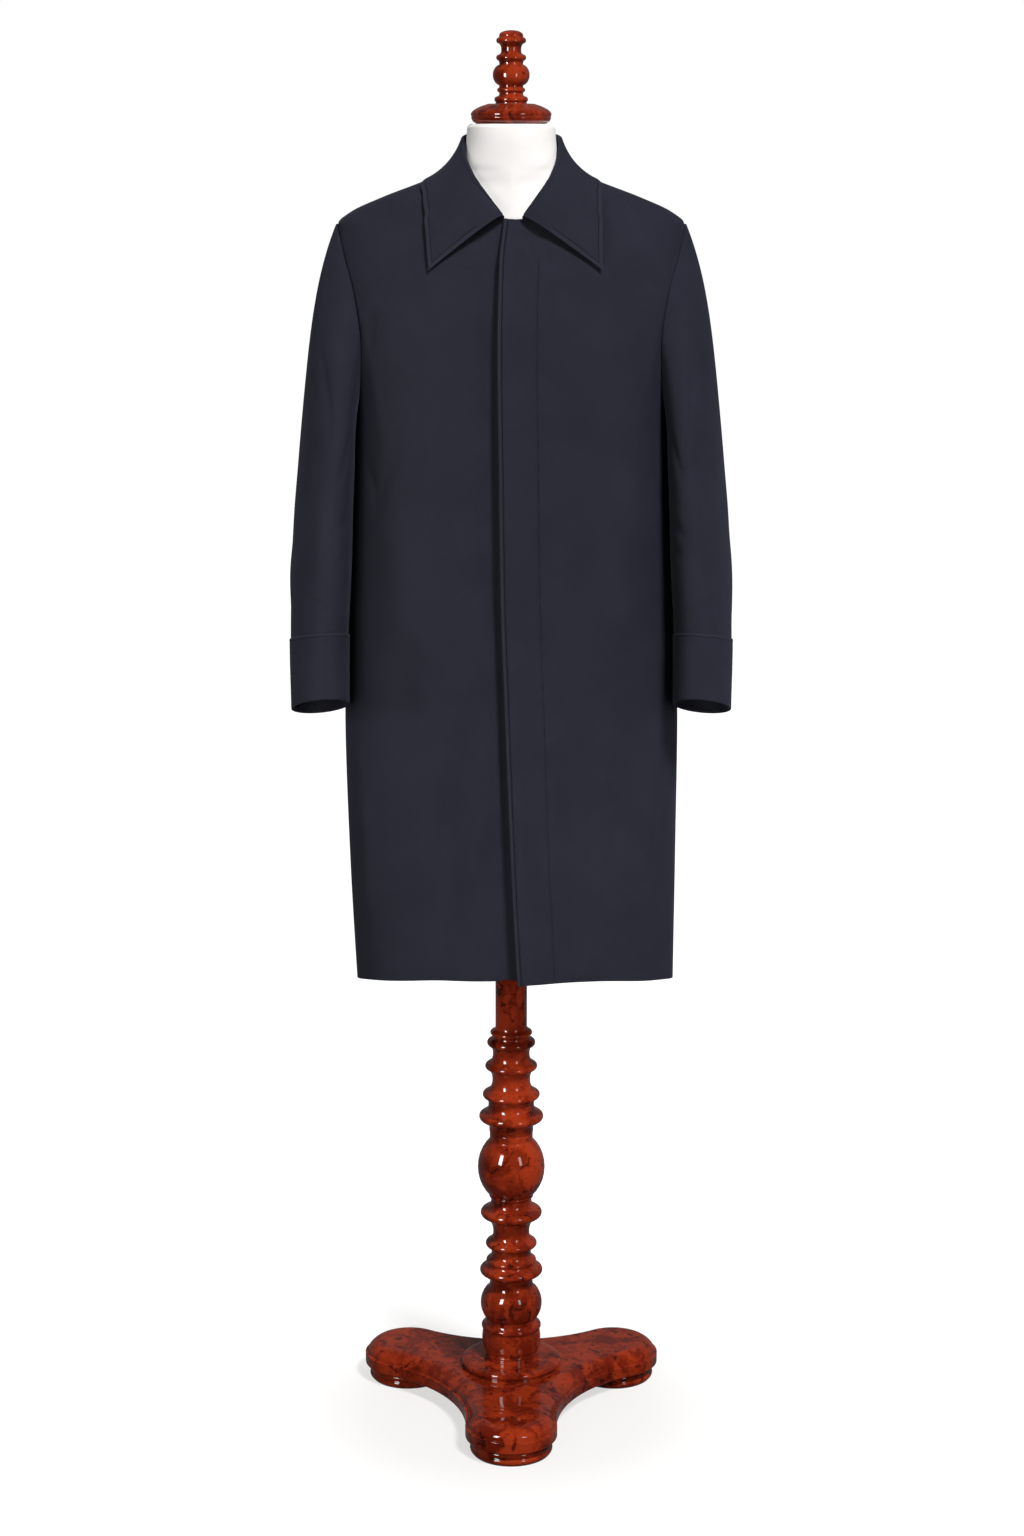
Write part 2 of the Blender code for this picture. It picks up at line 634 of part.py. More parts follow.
def make_sleeves():
    angle = np.linspace(0.0, math.tau, SLEEVE_COLUMNS, endpoint=False)[None, :]
    head = np.linspace(0.0, SLEEVE_HEAD_END, SLEEVE_HEAD_ROWS)
    arm = np.linspace(SLEEVE_HEAD_END, SLEEVE_END, ARM_ROWS)[1:]
    u = np.concatenate([head, arm])[:, None]
    cuff_u = np.linspace(CUFF_START, 1.0, CUFF_ROWS)[:, None]
    sheet, out = sleeve(angle, u), normals(sleeve, angle, u)
    cuff_sheet, cuff_out = sleeve(angle, cuff_u), normals(sleeve, angle, cuff_u)
    lift = CUFF_GAP + CUFF_STAND_OFF * (1 - ease((cuff_u - CUFF_START) / (1 - CUFF_START)))[..., None]
    for name, side in (("left", 1.0), ("right", -1.0)):
        mirror = np.array([side, 1.0, 1.0])
        cloth("sleeve_" + name, sheet * mirror, (sheet - WALL * out) * mirror, wrap=True)
        cuff_inner = cuff_sheet + lift * cuff_out
        cloth("cuff_" + name, (cuff_inner + WALL * cuff_out) * mirror, cuff_inner * mirror, wrap=True)


def make_collar():
    right, left = collar_half(-1), collar_half(1)
    sheet = np.concatenate([right[:, :0:-1], left], axis=1)
    out = unit(np.cross(np.gradient(sheet, axis=1), np.gradient(sheet, axis=0)))
    cloth("collar", sheet + COLLAR_WALL / 2 * out, sheet - COLLAR_WALL / 2 * out)


# Dress form and stand


def make_form():
    knots = FORM["z"]
    rows = np.arange(0, len(knots) - 0.5, 1 / FORM_ROWS_BETWEEN)
    z = np.interp(rows, np.arange(len(knots)), knots)[:, None]
    turn = np.linspace(0.0, math.tau, FORM_COLUMNS, endpoint=False)[None, :]
    power = 2 / read(FORM, "power", z)
    depth = np.where(np.cos(turn) > 0, read(FORM, "front", z), read(FORM, "back", z))
    below_coat = np.where(z < NECK_SIDE - FORM_DROP, read(BODY, "half_width", z + FORM_DROP), np.inf)
    half = np.minimum(read(FORM, "half_width", z), below_coat)
    x = half * signed_power(np.sin(turn), power)
    y = -depth * signed_power(np.cos(turn), power)
    loft("form_torso", np.stack(np.broadcast_arrays(x, y, z), axis=-1), off_white)


def base_outline(inset, lobe_steps=9, hollow_steps=8):
    """The board's outline moved in by inset: lobe arcs, joined by hollow arcs that touch them."""
    slack = LOBE_RADIUS - BASE_WAIST
    hollow_centre = (LOBE_CENTRE**2 - slack**2) / (LOBE_CENTRE + 2 * slack)
    hollow_radius = hollow_centre - BASE_WAIST
    sixty = math.radians(60.0)
    touch = math.atan2(hollow_centre * math.sin(sixty), hollow_centre * math.cos(sixty) - LOBE_CENTRE)
    from_centre = math.pi + sixty
    sweep = touch + math.pi - from_centre
    lobe = np.linspace(-touch, touch, lobe_steps + 1)
    hollow = np.linspace(from_centre + sweep, from_centre - sweep, hollow_steps + 1)[1:-1]
    points = []
    for bearing in np.radians(list(LOBES.values())):
        for centre, centre_bearing, radius, angles in (
            (LOBE_CENTRE, bearing, LOBE_RADIUS - inset, lobe),
            (hollow_centre, bearing + sixty, hollow_radius + inset, hollow),
        ):
            x = centre * np.cos(centre_bearing) + radius * np.cos(bearing + angles)
            y = centre * np.sin(centre_bearing) + radius * np.sin(bearing + angles)
            points.append(np.stack([x, y], axis=-1))
    return np.concatenate(points)


def make_stand():
    turned("neck_cap", CAP, mahogany, steps=24, per_run=2)
    turned("finial", FINIAL, mahogany, steps=16, per_run=2, dome=FINIAL_TOP)
    turned("post", SPINDLE, mahogany, steps=16, per_run=3)
    turned("base_ring", BASE_RING, mahogany, steps=24, per_run=1)
    rings = []
    for z, inset in zip(BASE_EDGE["z"], BASE_EDGE["inset"]):
        outline = base_outline(inset)
        rings.append(np.column_stack([outline, np.full(len(outline), z)]))
    loft("base", np.array(rings), mahogany)
    for name, bearing in LOBES.items():
        angle = math.radians(bearing)
        place = (LOBE_CENTRE * math.cos(angle), LOBE_CENTRE * math.sin(angle), 0.0)
        turned("foot_" + name, FOOT, mahogany, steps=20, per_run=1, place=place)


for old in list(bpy.data.objects):
    bpy.data.objects.remove(old, do_unlink=True)
parts = bpy.data.collections.new("mackintosh_on_dress_form_stand")
bpy.context.scene.collection.children.link(parts)
root = bpy.data.objects.new("post_axis", None)
root.location = POST_AXIS
parts.objects.link(root)
navy = material("navy_raincoat_cloth", NAVY, roughness=0.8)
off_white = material("off_white_cover", OFF_WHITE, roughness=0.9)
mahogany = material("polished_mahogany", MAHOGANY, roughness=0.2, coat=0.6)
make_fronts()
make_back()
make_sleeves()
make_collar()
make_form()
make_stand()
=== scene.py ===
# %% [markdown]
# # A mackintosh on a dress form
#
# This lesson dresses a model of a dark navy raincoat that hangs on a dress form with a turned stand.
# The model's plain solids stay as they are for collision, and each gets a finer piece in its place: cloth
# with soft creases and stitched edges, a knitted cover on the form, and lacquered wood. Every surface is a
# formula on a grid of two parameters, so each size can be read and changed in one place.

# %% Load the model
import math

import bmesh
import bpy
import numpy as np
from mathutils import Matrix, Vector


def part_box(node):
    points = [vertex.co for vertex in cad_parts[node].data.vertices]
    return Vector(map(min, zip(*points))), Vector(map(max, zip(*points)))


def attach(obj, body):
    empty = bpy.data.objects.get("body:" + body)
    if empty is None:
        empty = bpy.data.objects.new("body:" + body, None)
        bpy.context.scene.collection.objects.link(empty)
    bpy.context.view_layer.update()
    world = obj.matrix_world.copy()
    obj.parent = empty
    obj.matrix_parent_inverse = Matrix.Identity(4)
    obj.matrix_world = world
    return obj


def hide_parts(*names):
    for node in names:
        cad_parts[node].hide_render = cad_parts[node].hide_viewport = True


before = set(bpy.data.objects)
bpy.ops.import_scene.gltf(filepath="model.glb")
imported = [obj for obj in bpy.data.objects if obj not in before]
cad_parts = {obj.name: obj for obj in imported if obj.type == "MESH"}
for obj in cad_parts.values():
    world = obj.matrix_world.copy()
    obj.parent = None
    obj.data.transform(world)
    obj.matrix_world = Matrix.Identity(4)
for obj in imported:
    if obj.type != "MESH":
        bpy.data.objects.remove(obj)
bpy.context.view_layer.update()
post_low, post_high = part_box("post")
POST_Y = (post_low.y + post_high.y) / 2  # the formulas below are written about the post's upright axis
print("solids:", len(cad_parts), " post axis at y =", round(POST_Y, 4))

# %% [markdown]
# ## Camera
# The picture was taken from a little above the shoulders with a long lens. A camera at that height that
# tips down keeps the coat's own proportions, so no lens shift is needed.

# %% Camera
EYE = Vector((0.0010, POST_Y - 3.70, 1.6354))
AIM = Vector((0.0010, POST_Y, 0.8604))
LENS_MM = 69.375

camera = bpy.data.objects.new("camera", bpy.data.cameras.new("camera"))
camera.data.lens = LENS_MM
camera.location = EYE
camera.rotation_euler = (AIM - EYE).to_track_quat("-Z", "Y").to_euler()
bpy.context.scene.collection.objects.link(camera)
bpy.context.scene.camera = camera
bpy.context.scene.view_settings.view_transform = "Standard"
print("camera looks down by", round(math.degrees(math.atan2(EYE.z - AIM.z, AIM.y - EYE.y)), 1), "degrees")

# %% [markdown]
# ## Shader maths as plain expressions
# A finish is a tree of nodes. Wiring each Math node by hand hides the formula, so one small class wraps an
# output socket: adding or multiplying two wires adds the Math node, and `node` makes any other kind.


# %% The wire class
class Wire:
    """An output socket of a node tree that can be used in arithmetic."""

    def __init__(self, tree, socket=None):
        self.tree = tree
        self.socket = socket

    def node(self, kind, settings=None, inputs=None, output=0):
        """Adds a node: settings first, then values or wires on its inputs; gives one output as a wire."""
        made = self.tree.nodes.new(kind)
        for name, value in (settings or {}).items():
            setattr(made, name, value)
        for name, value in (inputs or {}).items():
            if isinstance(value, Wire):
                self.tree.links.new(value.socket, made.inputs[name])
            else:
                made.inputs[name].default_value = value
        return Wire(self.tree, made.outputs[output]) if made.outputs else None

    def math(self, operation, first, second=0.0):
        """One Math node on two values."""
        return self.node("ShaderNodeMath", {"operation": operation}, {0: first, 1: second})

    def __add__(self, other):
        return self.math("ADD", self, other)

    def __sub__(self, other):
        return self.math("SUBTRACT", self, other)

    def __rsub__(self, other):
        return self.math("SUBTRACT", other, self)

    def __mul__(self, other):
        return self.math("MULTIPLY", self, other)

    __radd__ = __add__
    __rmul__ = __mul__

    def sine(self):
        """The sine of this value, in radians."""
        return self.math("SINE", self)

    def between(self, low, high):
        """0 below low, 1 above high, and a soft step from one to the other."""
        limits = {"Value": self, "From Min": low, "From Max": high}
        return self.node("ShaderNodeMapRange", {"interpolation_type": "SMOOTHSTEP"}, limits)

    def mix(self, at_zero, at_one):
        """A colour between two colours, with this wire as the share of the second."""
        return self.node("ShaderNodeMix", {"data_type": "RGBA"}, {0: self, 6: at_zero, 7: at_one}, 2)

    def noise(self, scale, detail=2.0, roughness=0.5, output="Fac"):
        """Soft noise read at this vector; scale is in cells per metre."""
        inputs = {"Vector": self, "Scale": scale, "Detail": detail, "Roughness": roughness}
        return self.node("ShaderNodeTexNoise", None, inputs, output)

    def stretched(self, factors):
        """This vector with each axis multiplied by its own factor."""
        return self.node("ShaderNodeVectorMath", {"operation": "MULTIPLY"}, {0: self, 1: factors})


def new_finish(name):
    """An empty finish, with a wire to start from and its Principled shader."""
    finish = bpy.data.materials.new(name)
    finish.use_nodes = True
    return finish, Wire(finish.node_tree), finish.node_tree.nodes["Principled BSDF"]


def feed(shader, **inputs):
    """Sets a shader's sockets, named with _ for a space, to numbers, colours or wires."""
    for name, value in inputs.items():
        socket = shader.inputs[name.replace("_", " ")]
        if isinstance(value, Wire):
            value.tree.links.new(value.socket, socket)
        else:
            socket.default_value = value


# %% [markdown]
# ## A white studio
# The photograph is lit as for a catalogue, in front of a white sweep. One large light stands high on the
# right and throws the shadows below the collar and beside the lap. Weak lights fill those from in front,
# from the sides and from behind, and two tall boxes only give the lacquer its long highlights. The sweep
# is drawn white to the eye from every side, while its light on the object fades from behind to in front.

# %% Sweep, floor and lights
BEHIND, BEFORE = 0.24, 0.03  # brightness of the room behind the object and behind the camera
FADE_FROM, FADE_TO = -0.25, 0.7  # it fades between these, as shares of straight backward
MIRROR_LOSS = 0.4  # share of the room's light that gloss doesn't show
WHITE = (1.0, 1.0, 1.0, 1.0)

world = bpy.data.worlds.new("white_sweep")
world.use_nodes = True
world.node_tree.nodes.clear()
bpy.context.scene.world = world
sky = Wire(world.node_tree)
direction = sky.node("ShaderNodeTexCoord", output="Generated")
backward = sky.node("ShaderNodeSeparateXYZ", None, {0: direction}, "Y")
seen = sky.node("ShaderNodeLightPath", output="Is Camera Ray")
mirrored = sky.node("ShaderNodeLightPath", output="Is Glossy Ray")
glow = BEFORE + (BEHIND - BEFORE) * backward.between(FADE_FROM, FADE_TO)
strength = seen + (1 - seen) * (1 - MIRROR_LOSS * mirrored) * glow
sweep = sky.node("ShaderNodeBackground", None, {"Color": WHITE, "Strength": strength})
sky.node("ShaderNodeOutputWorld", None, {"Surface": sweep})

FLOOR_HALF = 30.0
FLOOR_GREY = (0.25, 0.245, 0.24, 1.0)
FLOOR_NEAR_PAINTED_SHADE = (0.665, 0.655, 0.648, 1.0)  # its own glow near the stand, dimmer there as painted shade round the base, and so that cast shadows show
NEAR_STAND, AWAY = 0.14, 0.50  # and its painted shade fades as the glow grows to white between these distances
floor_finish, floor_start, floor_shader = new_finish("white_floor")
floor_place = floor_start.node("ShaderNodeTexCoord", output="Object")
from_stand = floor_start.node("ShaderNodeVectorMath", {"operation": "LENGTH"}, {0: floor_place}, "Value")
# painted shade: the floor glows less near the stand, which greys it round the base
floor_glow_and_painted_shade = from_stand.between(NEAR_STAND, AWAY).mix(FLOOR_NEAR_PAINTED_SHADE, WHITE)
feed(floor_shader, Base_Color=FLOOR_GREY, Roughness=0.9, Specular_IOR_Level=0.0)
feed(floor_shader, Emission_Color=floor_glow_and_painted_shade, Emission_Strength=1.0)
floor_mesh = bpy.data.meshes.new("floor")
corners = FLOOR_HALF * np.array([(-1, -1, 0), (1, -1, 0), (1, 1, 0), (-1, 1, 0)])
floor_mesh.from_pydata(corners.tolist(), [], [(0, 1, 2, 3)])
floor_mesh.materials.append(floor_finish)
floor = bpy.data.objects.new("floor", floor_mesh)
bpy.context.scene.collection.objects.link(floor)
floor.visible_glossy = False  # the lacquer mirrors a dark room, not the floor
floor.visible_diffuse = False  # its own glow is for the eye, and would fill every shadow from below


def soft_box(name, bearing, distance, height, aim_height, size, watts, mirrored, beam=180.0):
    """A rectangular light round the post; bearing is in degrees to the viewer's right of the camera.

    A mirrored box only shows in gloss, as a highlight; the others only light what they fall on. A narrow
    beam, in degrees, keeps a box's light on the coat.
    """
    lamp = bpy.data.lights.new(name, "AREA")
    lamp.shape = "RECTANGLE"
    lamp.size, lamp.size_y = size
    lamp.energy = watts
    lamp.spread = math.radians(beam)
    angle = math.radians(bearing)
    box = bpy.data.objects.new(name, lamp)
    box.location = (distance * math.sin(angle), POST_Y - distance * math.cos(angle), height)
    to_object = Vector((0.0, POST_Y, aim_height)) - box.location
    box.rotation_euler = to_object.to_track_quat("-Z", "Y").to_euler()
    box.visible_camera = False
    box.visible_glossy = mirrored
    box.visible_diffuse = not mirrored
    bpy.context.scene.collection.objects.link(box)


# name, bearing, distance, height, aimed at, width and height, watts, shows in gloss, beam
soft_box("soft_box_left", -40.0, 2.7, 1.55, 0.95, (0.62, 1.5), 75.0, True)
soft_box("soft_box_right", 34.0, 2.9, 1.50, 0.95, (0.45, 1.3), 13.0, True)
soft_box("key_above", 29.0, 5.0, 6.7, 1.00, (1.4, 1.4), 780.0, False)
soft_box("fill_in_front", -24.0, 3.4, 0.7, 0.8, (1.8, 1.4), 45.0, False)
soft_box("fill_below", 30.0, 3.2, 0.55, 0.66, (1.0, 0.5), 1.3, False, 34.0)
soft_box("fill_behind", 180.0, 3.2, 0.9, 1.1, (1.0, 1.0), 4.2, False, 36.0)
soft_box("side_left", -84.0, 3.0, 1.35, 1.15, (0.6, 0.8), 1.9, False, 36.0)
soft_box("side_right", 84.0, 3.0, 1.30, 1.10, (0.6, 0.8), 1.6, False, 36.0)
print("lights:", [lamp.name for lamp in bpy.data.lights])

# %% [markdown]
# ## Raincoat cloth
# The coat is closely woven, proofed cotton: almost matt, nearly black in the folds, with a faint twill line
# and a little unevenness in the dye. The weave follows the cut, so it reads the piece's own map of the flat
# cloth in metres, and the unevenness reads the place in space, so that it runs on across a seam.

# %% Raincoat cloth and its thread
TWILL_PITCH = 0.00085  # between two twill lines
TWILL_SLOPE = 0.6
NAVY_DEEP = (0.0122, 0.0126, 0.0196, 1.0)
NAVY_PALE = (0.0176, 0.0181, 0.0272, 1.0)
NAVY_RIM_PAINTED_HIGHLIGHT = (0.0184, 0.0188, 0.0281, 1.0)  # painted highlight: pressed edges are drawn a little lighter in colour
NAVY_GROOVE_PAINTED_SHADE = (0.0046, 0.0047, 0.0072, 1.0)  # painted shade: cloth in the stitches' grooves is drawn darker
SLUB_CELLS = (900.0, 160.0, 1.0)  # thick places in the yarn, per metre across and along
DYE_CELLS, WEAR_CELLS = 15.0, 7.0  # blotches of dye and of wear, per metre
THREAD_DARK = (0.0070, 0.0072, 0.0110, 1.0)
THREAD_PALE = (0.0135, 0.0140, 0.0210, 1.0)
TWIST_CELLS = (900.0, 900.0, 2600.0)


def raincoat_cloth():
    """Twill: a sine across slanting lines, in colour and in height, over soft mottling."""
    finish, start, shader = new_finish("navy_raincoat_cloth")
    cut = start.node("ShaderNodeUVMap", {"uv_map": "cut"})
    across = start.node("ShaderNodeSeparateXYZ", None, {0: cut}, "X")
    along = start.node("ShaderNodeSeparateXYZ", None, {0: cut}, "Y")
    place = start.node("ShaderNodeTexCoord", output="Object")
    twill = 0.5 + 0.5 * ((across + along * TWILL_SLOPE) * (math.tau / TWILL_PITCH)).sine()
    slub = cut.stretched(SLUB_CELLS).noise(1.0, 3.0)
    dye = place.noise(DYE_CELLS, 5.0, 0.62)
    wear = place.noise(WEAR_CELLS, 2.0)
    shade = 0.44 * dye + 0.16 * wear + 0.20 * slub + 0.20 * twill
    # painted light: a point attribute marks pressed edges, painted lighter as a highlight, and stitch
    # grooves, painted darker as shade
    painted_rim_light_and_groove_shade = start.node("ShaderNodeAttribute", {"attribute_name": "painted_rim_light_and_groove_shade"}, output="Fac")
    plain = shade.between(0.34, 0.66).mix(NAVY_DEEP, NAVY_PALE)
    with_painted_rim_highlight = painted_rim_light_and_groove_shade.between(0.1, 0.6).mix(plain, NAVY_RIM_PAINTED_HIGHLIGHT)
    height = 0.7 * twill + 0.6 * slub
    bump = start.node("ShaderNodeBump", None, {"Strength": 0.22, "Distance": 0.0003, "Height": height})
    # painted shade in the stitches' grooves, over the painted edge highlight
    feed(shader, Base_Color=(0 - painted_rim_light_and_groove_shade).between(0.1, 0.9).mix(with_painted_rim_highlight, NAVY_GROOVE_PAINTED_SHADE))
    feed(shader, Roughness=0.70 + 0.16 * dye, Normal=bump, Specular_IOR_Level=0.08)
    feed(shader, Sheen_Weight=0.04, Sheen_Roughness=0.4, Sheen_Tint=(0.72, 0.78, 1.0, 1.0))
    return finish


def sewing_thread():
    """Polyester thread, a shade darker than the cloth, with its twist as fine stripes."""
    finish, start, shader = new_finish("navy_thread")
    place = start.node("ShaderNodeTexCoord", output="Object")
    twist = place.stretched(TWIST_CELLS).noise(1.0, 1.0)
    feed(shader, Base_Color=twist.mix(THREAD_DARK, THREAD_PALE))
    feed(shader, Roughness=0.6 + 0.2 * twist, Specular_IOR_Level=0.1)
    return finish


cloth_finish, thread_finish = raincoat_cloth(), sewing_thread()
print("finishes:", cloth_finish.name, thread_finish.name)

# %% [markdown]
# ## The form's cover and the lacquered wood
# The form is covered in off-white jersey, smooth from a step away. The stand is mahogany with a burled,
# nearly black figure under a thick clear lacquer. The figure is noise read at places that other noise has
# pushed aside, which curls it as burl does, and a clear coat over it keeps the reflections sharp.

# %% Cover and wood
KNIT_PITCH = 0.0011
COVER_PALE = (0.70, 0.682, 0.665, 1.0)
COVER_GREY = (0.66, 0.642, 0.625, 1.0)
WOOD_DARK = (0.104, 0.0083, 0.0026, 1.0)
WOOD_RED = (0.250, 0.0255, 0.0066, 1.0)
WOOD_BURL = (0.0120, 0.0020, 0.0016, 1.0)
FLUFF_CELLS, TONE_CELLS = 420.0, 14.0  # fibres and grey patches on the cover, per metre
GROUND_CELLS, CLOUD_CELLS, VEIN_CELLS, BRUSH_CELLS = 38.0, 62.0, 150.0, 90.0  # in the wood, per metre
GROUND_STRETCH, VEIN_STRETCH = (1.0, 1.0, 0.45), (1.0, 1.0, 0.35)  # the figure is longer up the post
CURL_CELLS, CURL = 34.0, (0.055, 0.055, 0.055)  # how closely and how far the figure is pushed aside


def form_jersey():
    """Fine ribs of knit round the form, as a sine up its height, with a faint unevenness."""
    finish, start, shader = new_finish("off_white_jersey")
    place = start.node("ShaderNodeTexCoord", output="Object")
    up = start.node("ShaderNodeSeparateXYZ", None, {0: place}, "Z")
    rib = 0.5 + 0.5 * (up * (math.tau / KNIT_PITCH)).sine()
    fluff = place.noise(FLUFF_CELLS, 3.0)
    tone = place.noise(TONE_CELLS, 2.0)
    bump = start.node("ShaderNodeBump", None, {"Strength": 0.12, "Distance": 0.0004, "Height": rib + fluff})
    feed(shader, Base_Color=(0.7 * tone + 0.3 * fluff).between(0.25, 0.6).mix(COVER_GREY, COVER_PALE))
    feed(shader, Roughness=0.82 + 0.1 * fluff, Normal=bump, Specular_IOR_Level=0.2, Sheen_Weight=0.08)
    return finish


def lacquered_mahogany():
    """Burl: noise read at pushed-aside places; dark clouds and thin veins over a red ground."""
    finish, start, shader = new_finish("lacquered_mahogany")
    place = start.node("ShaderNodeTexCoord", output="Object")
    push = place.noise(CURL_CELLS, 3.0, 0.55, "Color")
    moved = {"operation": "MULTIPLY_ADD"}
    curled = start.node("ShaderNodeVectorMath", moved, {0: push, 1: CURL, 2: place})
    ground = curled.stretched(GROUND_STRETCH).noise(GROUND_CELLS, 4.0, 0.6)
    clouds = curled.noise(CLOUD_CELLS, 3.0, 0.55).between(0.57, 0.67)
    veins = curled.stretched(VEIN_STRETCH).noise(VEIN_CELLS, 3.0, 0.6).between(0.58, 0.70)
    burl = 0.75 * clouds + 0.40 * veins * (1 - clouds)
    wood = ground.between(0.36, 0.62).mix(WOOD_DARK, WOOD_RED)
    brushed = place.noise(BRUSH_CELLS, 2.0)
    bump = start.node("ShaderNodeBump", None, {"Strength": 0.04, "Distance": 0.0004, "Height": brushed})
    feed(shader, Base_Color=burl.mix(wood, WOOD_BURL), Roughness=0.26 + 0.10 * brushed, Normal=bump)
    feed(shader, Coat_Weight=1.0, Coat_Roughness=0.03, Coat_IOR=1.5, Specular_IOR_Level=0.0)
    return finish


cover_finish, wood_finish = form_jersey(), lacquered_mahogany()
print("finishes:", cover_finish.name, wood_finish.name)

# %% [markdown]
# ## From formulas to pieces
# Each cloth piece is a wall: an outer sheet, the same sheet moved in by the cloth's thickness, and a rim that
# joins them. At its free edges the wall thins to a rounded lip, which is what makes a cut or folded edge look
# like cloth. The sheet's own row and column lengths make the map of the flat cloth that the weave follows.

# %% Helpers for tables, curves and grids
MERGE = 4e-6  # points closer than this are one
SHARP = math.radians(50.0)
EDGE_STEPS = np.array([0.0, 0.3, 0.7, 1.2, 1.9, 3.0, 4.6]) / 1000  # rows and columns beside a free edge


def table(names, *rows):
    """A short table as named columns."""
    return dict(zip(names.split(), np.array(rows, dtype=float).T))


def read(rows, column, at, key="z"):
    """A column at any key: a cubic through the rows that doesn't overshoot them."""
    x, y = rows[key], rows[column]
    step = np.diff(x)
    slope = np.diff(y) / step
    product = slope[:-1] * slope[1:]
    total = np.where(product > 0, slope[:-1] + slope[1:], 1.0)
    inner = np.where(product > 0, 2 * product / total, 0.0)
    tangent = np.concatenate([slope[:1], inner, slope[-1:]])
    at = np.asarray(at, dtype=float)
    i = np.clip(np.searchsorted(x, at) - 1, 0, len(step) - 1)
    t = np.clip((at - x[i]) / step[i], 0.0, 1.0)
    rise = (1 + 2 * t) * (1 - t) ** 2 * y[i] + t**2 * (3 - 2 * t) * y[i + 1]
    return rise + step[i] * (t * (1 - t) ** 2 * tangent[i] - t**2 * (1 - t) * tangent[i + 1])


def ease(t):
    """0 to 1 with level ends."""
    t = np.clip(t, 0.0, 1.0)
    return t * t * (3 - 2 * t)


def bell(offset, width):
    """1 at no offset and soft to 0: e to the power of minus the square of offset over width."""
    return np.exp(-((offset / width) ** 2))


def signed_power(value, power):
    """A power of the value's size, with the value's own sign."""
    return np.sign(value) * np.abs(value) ** power


def unit(vectors):
    """Vectors divided by their lengths."""
    return vectors / np.maximum(np.linalg.norm(vectors, axis=-1, keepdims=True), 1e-12)


def run_lengths(sheet, axis):
    """Length along a grid's rows or columns, from 0 at its first point."""
    steps = np.linalg.norm(np.diff(sheet, axis=axis), axis=-1)
    return np.insert(np.cumsum(steps, axis=axis), 0, 0.0, axis=axis)


def sheet_normals(sheet, tube=False):
    """Unit normals of a grid: along its columns crossed with up its rows."""
    padded = np.concatenate([sheet[:, -1:], sheet, sheet[:, :1]], axis=1) if tube else sheet
    around = np.gradient(padded, axis=1)
    around = around[:, 1:-1] if tube else around
    return unit(np.cross(around, np.gradient(sheet, axis=0)))


def grid_faces(rows, columns):
    """Corner numbers of the cells of a grid of points."""
    corner = np.arange(rows * columns).reshape(rows, columns)
    cells = [corner[:-1, :-1], corner[:-1, 1:], corner[1:, 1:], corner[1:, :-1]]
    return np.stack(cells, axis=-1).reshape(-1, 4)


def close_round(grid):
    """A grid of rings with each ring's first point repeated at its end."""
    return np.concatenate([grid, grid[:, :1]], axis=1)


# %% Helpers that make pieces
def add_piece(name, points, faces, finish, slot, stands_for=None, cut=None, painted_rim_light_and_groove_shade=None):
    """A piece from arrays about the post: doubles merged, faces out, riding on the part's one body."""
    mesh = bpy.data.meshes.new(name)
    mesh.from_pydata((points + [0.0, POST_Y, 0.0]).tolist(), [], faces.tolist())
    if cut is not None:
        corner = np.empty(len(mesh.loops), dtype=np.int32)
        mesh.loops.foreach_get("vertex_index", corner)
        mesh.uv_layers.new(name="cut").data.foreach_set("uv", cut[corner].ravel())
    # the mask from which the cloth's finish paints edge highlights and groove shade
    if painted_rim_light_and_groove_shade is not None:
        mesh.attributes.new("painted_rim_light_and_groove_shade", "FLOAT", "POINT").data.foreach_set("value", painted_rim_light_and_groove_shade)
    shape = bmesh.new()
    shape.from_mesh(mesh)
    bmesh.ops.remove_doubles(shape, verts=shape.verts, dist=MERGE)
    bmesh.ops.recalc_face_normals(shape, faces=shape.faces)
    shape.to_mesh(mesh)
    shape.free()
    mesh.materials.append(finish)
    mesh.shade_smooth()
    mesh.set_sharp_from_angle(angle=SHARP)
    piece = bpy.data.objects.new(name, mesh)
    bpy.context.scene.collection.objects.link(piece)
    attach(piece, "root")
    if stands_for:
        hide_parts(stands_for)
    print(name, len(mesh.polygons), "faces")
    return piece


PLUMP, GROOVE, GROOVE_WIDTH = 0.00045, 0.00100, 0.0008  # a sewn edge's fullness and its stitches' groove
PLUMP_AT, PLUMP_WIDTH = 0.55, 0.45  # the fullness, as shares of the way from the edge to the stitches
LIP = 0.0016  # width of the rounded lip along a free edge
LIP_THIN = 0.5  # share of the thickness that the outer side loses at the very edge
measures = {}  # width, length and area of each cloth piece as it hangs


def edge_lip(sheet, thickness, tube):
    """How far the outer side sinks at an edge: a quarter circle within the lip's width."""
    up = run_lengths(sheet, 0)
    near = np.minimum(up, up[-1] - up)
    if not tube:
        across = run_lengths(sheet, 1)
        near = np.minimum(near, np.minimum(across, across[:, -1:] - across))
    short = np.clip(1 - near / LIP, 0.0, 1.0)
    return LIP_THIN * thickness * (1 - np.sqrt(1 - short**2))


